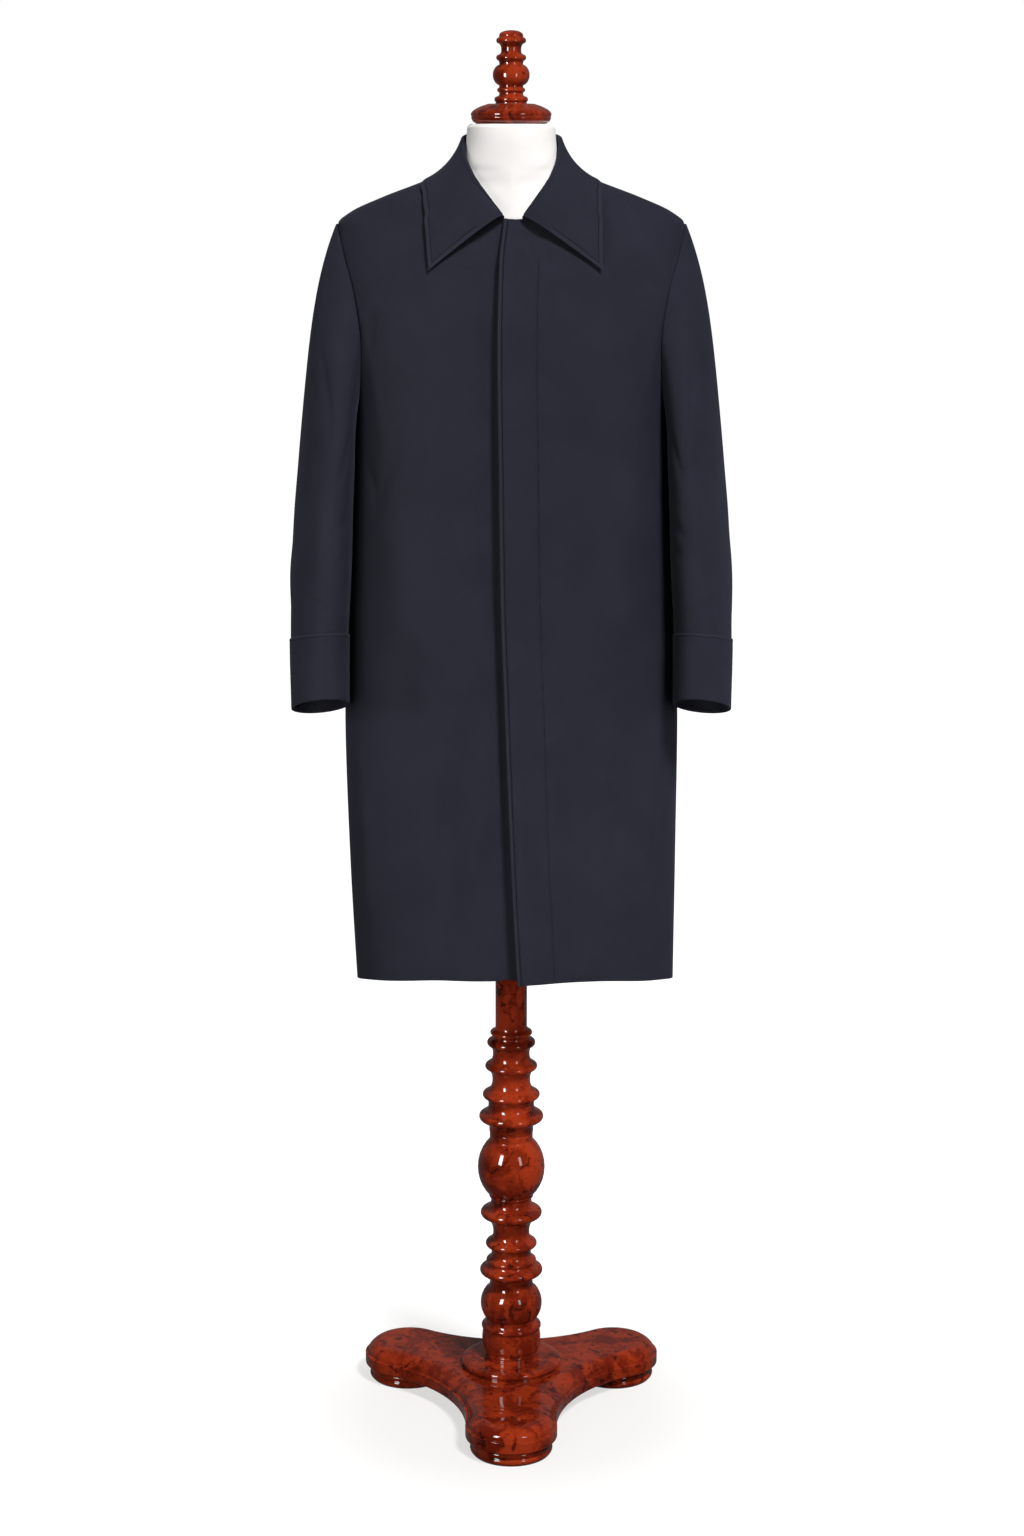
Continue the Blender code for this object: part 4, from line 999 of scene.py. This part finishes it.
# %% Sleeves and cuffs
def make_arm(name, mirror, strokes):
    """A sleeve and its cuff; the right arm is the left one mirrored, with creases of its own."""
    angle = np.linspace(0.0, math.tau, SLEEVE_COLUMNS, endpoint=False)[None, :]
    ends = EDGE_STEPS / SLEEVE_LENGTH
    share = np.concatenate([np.linspace(0.0, 1 - ends[-1], SLEEVE_ROWS)[1:], 1 - ends[-2::-1]])[:, None]
    after_roll = head_share(angle, SEAM_ROLL)
    u = after_roll + (SLEEVE_END - after_roll) * share
    flip = np.array([mirror, 1.0, 1.0])
    seam = rolled_seam(angle)
    sheet = np.concatenate([seam, sleeve(angle, u)])[:, ::-int(mirror)] * flip
    u = np.concatenate([np.zeros(seam.shape[:2]), u])[:, ::-int(mirror)]
    at = angle[:, ::-int(mirror)]
    fold = sleeve_creases(at, u, strokes) + sleeve_creases(at, u, CUFF_SEAMS)
    node = "sleeve_" + name
    piece, _, _ = cloth_wall("coat_" + node, sheet[::-1], WALL, node, fold[::-1], tube=True)
    length = (1 - CUFF_START) * SLEEVE_LENGTH
    share = np.concatenate([EDGE_STEPS[:-1], CUFF_STITCH + BESIDE[1:]]) / length
    share = np.concatenate([share, np.linspace(share[-1], 1 - EDGE_STEPS[-1] / length, CUFF_ROWS)[1:]])
    share = np.concatenate([share, 1 - EDGE_STEPS[-2::-1] / length])[:, None]
    cuff_u = CUFF_START + (1 - CUFF_START) * share
    base = sleeve(angle, cuff_u)[:, ::-int(mirror)] * flip
    out = sheet_normals(base[::-1], tube=True)[::-1]
    lift = CUFF_WALL + CUFF_GAP + CUFF_STAND_OFF * (1 - ease(share))
    cuff = (base + out * lift[..., None])[::-1]
    away = (share * length)[::-1]
    press = CUFF_PRESS * np.broadcast_to(stitched_edge(away, CUFF_STITCH), cuff.shape[:2])
    node = "cuff_" + name
    cuff_piece, outer, cuff_out = cloth_wall("coat_" + node, cuff, CUFF_WALL, node, press=press, tube=True)
    row = int(np.argmin(np.abs(away[:, 0] - CUFF_STITCH)))
    return piece, cuff_piece, (close_round(outer)[row], close_round(cuff_out)[row])


sleeve_left, cuff_left, cuff_row_left = make_arm("left", 1.0, LEFT_SLEEVE_CREASES)
sleeve_right, cuff_right, cuff_row_right = make_arm("right", -1.0, RIGHT_SLEEVE_CREASES)

# %% [markdown]
# ## Collar
# Stand and fall are one piece: the stand rises from the neckline, rolls over at the fold, and the fall comes
# down to two points in front. Each column is one curve: a Hermite curve up the stand, half a circle over the
# roll, and a quadratic curve down to the edge, whose turn and height are read from a table.

# %% Sizes of the collar
COLLAR = table(
    "along fold_x fold_y fold_z edge_turn edge_z edge_out",
    (0.00, 0.0000, 0.0640, 1.6530, 180, 1.5880, 0.0042),
    (0.25, 0.0440, 0.0480, 1.6510, 147, 1.5880, 0.0040),
    (0.50, 0.0572, 0.0040, 1.6450, 90, 1.5980, 0.0011),
    (0.62, 0.0560, -0.0240, 1.6270, 41, 1.5780, 0.0038),
    (0.75, 0.0470, -0.0490, 1.6030, 27, 1.5480, 0.0068),
    (0.87, 0.0300, -0.0690, 1.5780, 26.3, 1.5180, 0.0070),
    (1.00, 0.0110, -0.0790, 1.5538, 26.1, 1.4900, 0.0052),
)
COLLAR_WALL, COLLAR_ROLL, COLLAR_KNEE, COLLAR_RAISE = 0.0018, 0.0022, 0.0022, 0.0003
COLLAR_NIP, NIP_FROM = 0.6, 0.8  # the roll is tighter near the ends, from this share along
COLLAR_LIFT = {1: 0.0200, -1: 0.0320}  # and the fall stands off there, more on the wearer's right
LIFT_FROM, LIFT_FULL, LIFT_EASES, LIFT_LOSS = 0.60, 0.90, 0.94, 0.15  # shares along, and what its end loses
STAND_HEIGHT, FALL_HEIGHT = 0.040, 0.075  # about how high the stand is, and how far up the fall goes
COLLAR_BEHIND, COLLAR_BEFORE = 40, 44  # columns behind and before the shoulder
STAND_SPRING, COLLAR_SWING, COLLAR_SHIFT, COLLAR_END = 0.4, 1.7, 0.0025, 0.0110
COLLAR_STITCH = 0.006
STAND_ROWS, ROLL_ROWS, FALL_ROWS = 16, 13, 34
COLLAR_NEAR_END = np.array([22, 16, 12, 10, 8.6, 7.6, 6.8, 6, 5.2, 4.4, 3.4, 2.4, 1.5, 0.8, 0.3, 0.0]) / 100
FALL_NEAR_EDGE = np.concatenate([(COLLAR_STITCH + BESIDE)[::-1], EDGE_STEPS[4::-1]])


# %% Formulas of the collar
def front_normals(side, turn, z):
    """Unit normals of a front, from small steps of its formula."""
    across = front(side, turn + STEP, z) - front(side, turn - STEP, z)
    up = front(side, turn, z + STEP / 5) - front(side, turn, z - STEP / 5)
    return unit(np.cross(across, up))


def collar_stations(side):
    """Columns from centre back to the front end: share, angle round the neckline, and if behind."""
    end = np.degrees(np.arcsin((COLLAR_END + side * COLLAR_SHIFT) / NECK_HALF))
    reach = math.degrees(NECK_REACH)
    behind_angles = np.linspace(0.0, reach, COLLAR_BEHIND)
    even = np.linspace(0.0, 1 - COLLAR_NEAR_END[0], COLLAR_BEFORE)
    shares = np.concatenate([even, 1 - COLLAR_NEAR_END[1:]])
    angle = np.concatenate([behind_angles, reach + (end - reach) * shares])
    behind = np.arange(len(angle)) < len(behind_angles)
    along = np.where(behind, angle / 180.0, 0.5 + 0.5 * (90.0 - angle) / (90.0 - end))
    return along, np.radians(angle), behind


def neckline(side, angle, behind):
    """The neckline's middle sheet on one side, and the directions up the cloth and out of it."""
    z = NECK_SIDE - (NECK_SIDE - np.where(behind, NECK_BACK, NECK_FRONT)) * np.cos(angle)
    turn = turn_at(NECK_HALF * np.sin(angle), z)
    turn = side * np.where(behind, np.pi - turn, turn)
    point = front(side, turn, z)
    out = front_normals(side, turn, z)
    up = unit(point - front(side, turn, z - STEP))
    return point - out * WALL / 2 + up * COLLAR_RAISE, up, out


def collar_half(side):
    """Rows of the collar's middle sheet: up the stand, over the roll and down the fall."""
    along, angle, behind = collar_stations(side)
    base, up, out = neckline(side, angle, behind)
    fold = np.stack([read(COLLAR, name, along, "along") for name in ("fold_x", "fold_y", "fold_z")], axis=-1)
    fold[:, 0] = side * fold[:, 0] + COLLAR_SHIFT * along**2
    tangent = unit(np.gradient(fold, axis=0))
    away = unit(np.cross(tangent, [0.0, 0.0, 1.0])) * -side
    over = unit(np.cross(away, tangent)) * -side
    rise = STAND_SPRING * np.linalg.norm(fold - base, axis=-1, keepdims=True)
    near_neck = EDGE_STEPS[:-1] / STAND_HEIGHT
    t = np.concatenate([near_neck, np.linspace(near_neck[-1], 1.0, STAND_ROWS)[1:]])[:, None, None]
    stand = (1 + 2 * t) * (1 - t) ** 2 * base + t**2 * (3 - 2 * t) * fold
    stand = stand + rise * (t * (1 - t) ** 2 * up - t**2 * (1 - t) * over)
    bend = np.linspace(0.0, np.pi, ROLL_ROWS)[1:, None, None]
    roll_radius = COLLAR_ROLL * (1 - COLLAR_NIP * ease((along - NIP_FROM) / (1 - NIP_FROM)))[:, None]
    roll = fold + roll_radius * ((1 - np.cos(bend)) * away + np.sin(bend) * over)
    edge_turn = np.radians(side * read(COLLAR, "edge_turn", along, "along") + COLLAR_SWING * along**2)
    edge_z = read(COLLAR, "edge_z", along, "along")
    stand_off = read(COLLAR, "edge_out", along, "along")[:, None]
    edge = front(side, edge_turn, edge_z) + front_normals(side, edge_turn, edge_z) * stand_off
    lift = ease((along - LIFT_FROM) / (LIFT_FULL - LIFT_FROM))
    lift = lift - LIFT_LOSS * ease((along - LIFT_EASES) / (1 - LIFT_EASES))
    knee = base + out * (COLLAR_KNEE + WALL / 2 + COLLAR_LIFT[side] * lift[:, None])
    speed = 2 * np.linalg.norm(edge - knee, axis=-1)
    near = 1 - FALL_NEAR_EDGE[:, None] / speed
    t = np.concatenate([np.linspace(0.0, 1.0, FALL_ROWS)[1:-1, None] * near[:1], near])[..., None]
    fall = (1 - t) ** 2 * roll[-1] + 2 * t * (1 - t) * knee + t**2 * edge
    return np.concatenate([stand, roll, fall])


# %% Collar
def make_collar():
    """Both halves in one grid; gives the piece, its outer side, normals, and distances from its edges."""
    right, left = collar_half(-1), collar_half(1)
    middle = np.concatenate([right[:, :0:-1], left], axis=1)
    sheet = (middle - sheet_normals(middle) * COLLAR_WALL / 2)[::-1]
    up, across = run_lengths(sheet, 0), run_lengths(sheet, 1)
    from_end = np.minimum(across, across[:, -1:] - across)
    to_edge = np.minimum(up, from_end)
    on_fall = up < FALL_HEIGHT
    press = np.where(on_fall, stitched_edge(to_edge, COLLAR_STITCH), 0.0)
    piece, outer, out = cloth_wall("coat_collar", sheet, COLLAR_WALL, "collar", 0.0, press)
    return piece, outer, out, up, from_end


collar, collar_outer, collar_out, collar_up, collar_from_end = make_collar()

# %% [markdown]
# ## Stitching
# From a step away the rows of stitches are what tells sewn cloth from a moulded shell. One stitch is a small
# spindle of thread, five rings of six points. Arrays place a copy every few millimetres along a row's path,
# and one mesh holds a whole row.

# %% Stitch formula
STITCH_PITCH, STITCH_HALF, STITCH_THICK = 0.0032, 0.00125, 0.00028
RINGS = np.array([-1.0, -0.6, 0.0, 0.6, 1.0])
RING_SIZE = np.sqrt(1 - RINGS**4)
RING_POINTS = 7  # six round the thread, and the first once more
MIDDLE_ROW = 100  # of a front's grid, to find the columns that lie on a line of stitches


def sew(paths):
    """Points and faces of stitches along paths: spindles set at even steps, half sunk in the cloth."""
    turn = np.linspace(0.0, math.tau, RING_POINTS)
    along = np.broadcast_to((RINGS * STITCH_HALF)[:, None], (len(RINGS), RING_POINTS))
    across = STITCH_THICK * RING_SIZE[:, None] * np.cos(turn)
    above = STITCH_THICK * RING_SIZE[:, None] * np.sin(turn)
    points, faces, total = [], [], 0
    for line, normal in paths:
        run = run_lengths(line[None], 1)[0]
        at = np.arange(STITCH_PITCH, run[-1] - STITCH_PITCH / 2, STITCH_PITCH)

        def sample(values, where):
            """A point or normal of the path at a length along it, on straight lines between its points."""
            return np.stack([np.interp(where, run, values[:, k]) for k in range(3)], axis=-1)

        ahead = unit(sample(line, at + STITCH_HALF) - sample(line, at - STITCH_HALF))
        up = unit(sample(normal, at))
        beside = np.cross(up, ahead)
        basis = np.einsum("ij,kc->kijc", along, ahead) + np.einsum("ij,kc->kijc", across, beside)
        placed = sample(line, at)[:, None, None] + basis + np.einsum("ij,kc->kijc", above, up)
        starts = total + along.size * np.arange(len(at))
        faces.append((grid_faces(*along.shape)[None] + starts[:, None, None]).reshape(-1, 4))
        points.append(placed.reshape(-1, 3))
        total += along.size * len(at)
    return np.concatenate(points), np.concatenate(faces)


# %% Rows of stitches
free_run = run_lengths(left_outer, 1)
below_collar = slice(1, -3)
front_rows = []
for line in (EDGE_STITCH, FLY_STITCH):
    column = int(np.argmin(np.abs(free_run[MIDDLE_ROW] - line)))
    front_rows.append((left_outer[below_collar, column], left_out[below_collar, column]))
front_stitches = add_piece("stitches_front", *sew(front_rows), thread_finish, "coat_cloth")

edge_row = int(np.argmin(np.abs(collar_up[:, collar_up.shape[1] // 2] - COLLAR_STITCH)))
kept = collar_from_end[edge_row] > COLLAR_STITCH
collar_rows = [(collar_outer[edge_row, kept], collar_out[edge_row, kept])]
collar_stitches = add_piece("stitches_collar", *sew(collar_rows), thread_finish, "coat_cloth")
cuff_stitches = [
    add_piece("stitches_cuff_" + name, *sew([row]), thread_finish, "coat_cloth")
    for name, row in (("left", cuff_row_left), ("right", cuff_row_right))
]

# %% [markdown]
# ## The dress form
# The form is a limbless torso that ends in a straight neck. Its sections are superellipses again; below the
# coat's shoulders it stays a few millimetres inside the cloth that rests on it.

# %% Dress form
FORM = table(
    "z half_width front back power",
    (0.8000, 0.1420, 0.0930, 0.0950, 2.2),
    (0.8120, 0.1510, 0.1010, 0.1030, 2.2),
    (0.9000, 0.1600, 0.1080, 0.1100, 2.2),
    (1.0500, 0.1420, 0.0970, 0.0940, 2.2),
    (1.2000, 0.1560, 0.1040, 0.0980, 2.2),
    (1.3300, 0.1700, 0.1080, 0.1040, 2.2),
    (1.4300, 0.1760, 0.1030, 0.1020, 2.2),
    (1.5000, 0.1790, 0.0880, 0.0930, 2.2),
    (1.5350, 0.1760, 0.0720, 0.0800, 2.1),
    (1.5550, 0.1700, 0.0630, 0.0720, 1.9),
    (1.5740, 0.1560, 0.0580, 0.0640, 1.6),
    (1.5930, 0.1090, 0.0560, 0.0590, 1.35),
    (1.6080, 0.0730, 0.0555, 0.0570, 1.6),
    (1.6180, 0.0620, 0.0550, 0.0560, 1.9),
    (1.6400, 0.0555, 0.0550, 0.0550, 2.0),
    (1.6600, 0.0536, 0.0535, 0.0535, 2.0),
    (1.6640, 0.0500, 0.0500, 0.0500, 2.0),
)
FORM_DROP = 0.0031
FORM_COLUMNS, FORM_ROWS_BETWEEN = 96, 8


def rings_to_piece(name, rings, finish, slot, stands_for):
    """A closed solid through rings of points, each end drawn in to a pole at its middle."""
    poles = [np.broadcast_to(ring.mean(axis=0), ring.shape)[None] for ring in (rings[0], rings[-1])]
    grid = close_round(np.concatenate([poles[0], rings, poles[1]]))
    return add_piece(name, grid.reshape(-1, 3), grid_faces(*grid.shape[:2]), finish, slot, stands_for)


def make_form():
    """Rings of superellipses up the torso, kept inside the coat's shoulders."""
    knots = FORM["z"]
    rows = np.arange(0, len(knots) - 1 + 0.5 / FORM_ROWS_BETWEEN, 1 / FORM_ROWS_BETWEEN)
    z = np.interp(rows, np.arange(len(knots)), knots)[:, None]
    turn = np.linspace(0.0, math.tau, FORM_COLUMNS, endpoint=False)[None, :]
    power = 2 / read(FORM, "power", z)
    depth = np.where(np.cos(turn) > 0, read(FORM, "front", z), read(FORM, "back", z))
    below_coat = np.where(z < NECK_SIDE - FORM_DROP, read(BODY, "half_width", z + FORM_DROP), np.inf)
    half = np.minimum(read(FORM, "half_width", z), below_coat)
    x = half * signed_power(np.sin(turn), power)
    y = -depth * signed_power(np.cos(turn), power)
    rings = np.stack(np.broadcast_arrays(x, y, z), axis=-1)
    return rings_to_piece("form_cover", rings, cover_finish, "form_cover", "form_torso")


make_form()

# %% [markdown]
# ## Turned wood
# Finial, cap, post, ring and feet were cut on a lathe, so each is a profile spun about its axis. A turner
# thinks in crests and necks: thin discs with round edges, balls, and hollow coves between them. A row of a
# table is one crest or neck: its height and radius, half its height, how far its ends lie inside its middle,
# and the angle that its curve turns through from its middle to its ends.

# %% Profiles
PROFILE = "z r half drop arc"
FINIAL = table(
    PROFILE,
    (1.7692, 0.0146, 0.0004, 0.0, 0),
    (1.7632, 0.0182, 0.0036, 0.0030, 80),
    (1.7518, 0.0122, 0.0014, 0.0, 0),
    (1.7430, 0.0183, 0.0032, 0.0020, 70),
    (1.7354, 0.0145, 0.0010, 0.0, 0),
    (1.7224, 0.0225, 0.0124, 0.0078, 75),
    (1.7088, 0.0146, 0.0005, 0.0, 0),
    (1.7046, 0.0172, 0.0025, 0.0019, 85),
    (1.7002, 0.0146, 0.0006, 0.0, 0),
    (1.6934, 0.0206, 0.0036, 0.0030, 80),
    (1.6892, 0.0192, 0.0007, 0.0, 0),
)
FINIAL_TOP = 1.7755
CAP = table(
    PROFILE,
    (1.6882, 0.0280, 0.0, 0.0, 0),
    (1.6867, 0.0330, 0.0, 0.0, 0),
    (1.6849, 0.0382, 0.0, 0.0, 0),
    (1.6843, 0.0387, 0.0, 0.0, 0),
    (1.6842, 0.0394, 0.0, 0.0, 0),
    (1.6840, 0.0400, 0.0, 0.0, 0),
    (1.6816, 0.0446, 0.0, 0.0, 0),
    (1.6792, 0.0476, 0.0, 0.0, 0),
    (1.6756, 0.0493, 0.0022, 0.0008, 70),
    (1.6710, 0.0488, 0.0, 0.0, 0),
    (1.6676, 0.0472, 0.0, 0.0, 0),
    (1.6643, 0.0430, 0.0, 0.0, 0),
)
SPINDLE = table(
    PROFILE,
    (0.6590, 0.0205, 0.1407, 0.0, 0),
    (0.5096, 0.0273, 0.0030, 0.0029, 80),
    (0.5052, 0.0238, 0.0004, 0.0, 0),
    (0.4960, 0.0314, 0.0044, 0.0033, 72),
    (0.4810, 0.0239, 0.0010, 0.0, 0),
    (0.4642, 0.0340, 0.0044, 0.0038, 72),
    (0.4455, 0.0246, 0.0010, 0.0, 0),
    (0.4254, 0.0373, 0.0046, 0.0040, 74),
    (0.4120, 0.0298, 0.0008, 0.0, 0),
    (0.3956, 0.0420, 0.0058, 0.0050, 78),
    (0.3790, 0.0287, 0.0036, 0.0, 0),
    (0.3744, 0.0274, 0.0006, 0.0, 0),
    (0.3690, 0.0282, 0.0035, 0.0, 0),
    (0.3260, 0.0440, 0.0374, 0.0151, 50),
    (0.2866, 0.0290, 0.0012, 0.0005, 80),
    (0.2808, 0.0266, 0.0015, 0.0, 0),
    (0.2630, 0.0403, 0.0060, 0.0052, 78),
    (0.2365, 0.0238, 0.0012, 0.0, 0),
    (0.2202, 0.0337, 0.0046, 0.0038, 72),
    (0.2075, 0.0260, 0.0008, 0.0, 0),
    (0.1965, 0.0330, 0.0024, 0.0010, 60),
    (0.1832, 0.0413, 0.0054, 0.0046, 76),
    (0.1675, 0.0283, 0.0010, 0.0, 0),
    (0.1370, 0.0405, 0.0192, 0.0061, 32),
    (0.1162, 0.0342, 0.0012, 0.0, 0),
    (0.1054, 0.0393, 0.0032, 0.0020, 80),
    (0.0880, 0.0386, 0.0135, 0.0016, 40),
    (0.0690, 0.0364, 0.0010, 0.0005, 80),
    (0.0650, 0.0355, 0.0027, 0.0, 0),
)
BASE_RING = table(
    PROFILE,
    (0.0620, 0.0400, 0.0, 0.0, 0),
    (0.0616, 0.0560, 0.0, 0.0, 0),
    (0.0606, 0.0610, 0.0, 0.0, 0),
    (0.0560, 0.0660, 0.0036, 0.0026, 75),
    (0.0503, 0.0634, 0.0, 0.0, 0),
)
FOOT = table(
    PROFILE,
    (0.0180, 0.0490, 0.0, 0.0, 0),
    (0.0134, 0.0530, 0.0034, 0.0020, 75),
    (0.0094, 0.0508, 0.0, 0.0, 0),
    (0.0052, 0.0530, 0.0034, 0.0018, 75),
    (0.0000, 0.0500, 0.0, 0.0, 0),
)
COVE = -74.0  # hollow runs between a spindle's crests and necks
RUN_STEPS, SPIN_STEPS, DOME_STEPS = 5, 80, 8


# %% Turned pieces
def arc_runs(z, r, arc):
    """Points along a profile: each run turns through its arc from the end where it stands upright.

    A positive arc bulges and is upright at its wider end, a negative one is hollow and upright at its
    narrower end, and 0 is a straight run.
    """
    start, end, arc = r[:-1, None], r[1:, None], arc[:, None]
    sweep = np.where(arc == 0, 1.0, np.radians(np.abs(arc)))
    from_start = (start >= end) == (arc > 0)
    t = np.linspace(0.0, 1.0, RUN_STEPS + 1)[None, :-1]
    angle = sweep * np.where(from_start, t, 1 - t)
    aside, along = (1 - np.cos(angle)) / (1 - np.cos(sweep)), np.sin(angle) / np.sin(sweep)
    aside, along = (np.where(from_start, share, 1 - share) for share in (aside, along))
    aside, along = (np.where(arc == 0, t, share) for share in (aside, along))
    radius = np.append((start + (end - start) * aside).ravel(), r[-1])
    return radius, np.append((z[:-1, None] + np.diff(z)[:, None] * along).ravel(), z[-1])


def turned(name, rows, stands_for, centre=(0.0, 0.0), dome=None, between=0.0):
    """Crests and necks joined by runs that turn through the angle between, spun about an upright axis."""
    z, r, half, drop, arc = rows.values()
    heights = np.stack([z + half, z, z - half], axis=1).ravel()
    radii = np.stack([r - drop, r, r - drop], axis=1).ravel()
    arcs = np.stack([arc, arc, np.full(len(arc), between)], axis=1).ravel()[:-1]
    radius, height = arc_runs(heights, radii, arcs)
    if dome is not None:
        rise = np.linspace(0.0, np.pi / 2, DOME_STEPS)[1:-1]
        radius = np.concatenate([radii[0] * np.sin(rise), radius])
        height = np.concatenate([heights[0] + (dome - heights[0]) * np.cos(rise), height])
    turn = np.linspace(0.0, math.tau, SPIN_STEPS, endpoint=False)[None, :]
    x = centre[0] + radius[:, None] * np.cos(turn)
    y = centre[1] + radius[:, None] * np.sin(turn)
    rings = np.stack(np.broadcast_arrays(x, y, height[:, None]), axis=-1)
    return rings_to_piece(name, rings, wood_finish, "mahogany", stands_for)


LOBE_CENTRE, LOBE_RADIUS, BASE_WAIST = 0.1605, 0.0590, 0.0970
LOBES = {"front": -90.0, "right": 30.0, "left": 150.0}

turned("stand_cap", CAP, "neck_cap")
turned("stand_finial", FINIAL, "finial", dome=FINIAL_TOP, between=COVE)
turned("stand_post", SPINDLE, "post", between=COVE)
turned("stand_ring", BASE_RING, "base_ring")
for lobe, bearing in LOBES.items():
    angle = math.radians(bearing)
    centre = (LOBE_CENTRE * math.cos(angle), LOBE_CENTRE * math.sin(angle))
    turned("stand_foot_" + lobe, FOOT, "foot_" + lobe, centre)

# %% [markdown]
# ## The three-lobed base
# The board was sawn to three round lobes joined by hollow arcs, and a moulding was run round its edge. So it
# is an outline of arcs, drawn again at each step of the moulding, moved in by that step's inset. The flat top
# is closed by the same outline shrunk to the middle.

# %% Base
MOULDING = table(
    "run z inset",
    (0, 0.0183, 0.0040),
    (1, 0.0196, 0.0012),
    (2, 0.0215, 0.0000),
    (3, 0.0338, 0.0000),
    (4, 0.0346, 0.0004),
    (5, 0.0349, 0.0034),
    (6, 0.0358, 0.0036),
    (7, 0.0400, 0.0046),
    (8, 0.0460, 0.0098),
    (9, 0.0488, 0.0140),
    (10, 0.0500, 0.0180),
)
MOULDING_STEPS, LOBE_STEPS, HOLLOW_STEPS = 60, 36, 32
TOP_SHRINK = np.linspace(0.97, 0.08, 10)  # the outline's shares that close the top and the underside


def base_outline(inset):
    """The board's outline moved in by inset: lobe arcs, joined by hollow arcs that touch them."""
    slack = LOBE_RADIUS - BASE_WAIST
    hollow_centre = (LOBE_CENTRE**2 - slack**2) / (LOBE_CENTRE + 2 * slack)
    hollow_radius = hollow_centre - BASE_WAIST
    sixty = math.radians(60.0)
    touch = math.atan2(hollow_centre * math.sin(sixty), hollow_centre * math.cos(sixty) - LOBE_CENTRE)
    from_centre = math.pi + sixty
    sweep = touch + math.pi - from_centre
    lobe_angles = np.linspace(-touch, touch, LOBE_STEPS + 1)
    hollow_angles = np.linspace(from_centre + sweep, from_centre - sweep, HOLLOW_STEPS + 1)[1:-1]
    arcs = []
    for bearing in np.radians(list(LOBES.values())):
        for centre, centre_bearing, radius, angles in (
            (LOBE_CENTRE, bearing, LOBE_RADIUS - inset, lobe_angles),
            (hollow_centre, bearing + sixty, hollow_radius + inset, hollow_angles),
        ):
            x = centre * np.cos(centre_bearing) + radius * np.cos(bearing + angles)
            y = centre * np.sin(centre_bearing) + radius * np.sin(bearing + angles)
            arcs.append(np.stack([x, y], axis=-1))
    return np.concatenate(arcs)


def make_base():
    """The outline at each step of the moulding, closed by shrunken copies of itself."""
    run = np.linspace(0.0, MOULDING["run"][-1], MOULDING_STEPS + 1)
    rings = []
    for z, inset in zip(read(MOULDING, "z", run, "run"), read(MOULDING, "inset", run, "run")):
        outline = base_outline(inset)
        rings.append(np.column_stack([outline, np.full(len(outline), z)]))
    shrink = TOP_SHRINK[:, None, None] * [1.0, 1.0, 0.0] + [0.0, 0.0, 1.0]
    top, bottom = rings[-1] * shrink, (rings[0] * shrink)[::-1]
    return rings_to_piece("stand_base", np.concatenate([bottom, rings, top]), wood_finish, "mahogany", "base")


make_base()

# %% [markdown]
# ## What the cloth was cut from
# Each cloth piece's cut size, flat, before it was sewn and hung, is listed and printed beside its hanging
# size.
# The sizes are a maker's: the panel's greatest width and length, and its area where the cut isn't a
# rectangle.

# %% Cut sizes
CUTS = {  # width, length and area of each piece as it was cut; sleeves and cuffs are measured all round
    left_front: (0.287, 1.167, 0.266),
    right_front: (0.325, 1.168, 0.300),
    back: (0.557, 1.160, 0.534),
    sleeve_left: (0.626, 0.618, 0.189),
    sleeve_right: (0.626, 0.618, 0.189),
    cuff_left: (0.366, 0.096, 0.0302),
    cuff_right: (0.366, 0.096, 0.0302),
    collar: (0.616, 0.135, 0.0568),
}
SEWN_ON = {left_front: [front_stitches], collar: [collar_stitches]}
SEWN_ON[cuff_left], SEWN_ON[cuff_right] = ([row] for row in cuff_stitches)
for piece, (wide, long, area) in CUTS.items():
    hangs = [round(float(size), 3) for size in measures[piece.name]]
    print(piece.name, "cut", CUTS[piece], "hangs as", hangs)
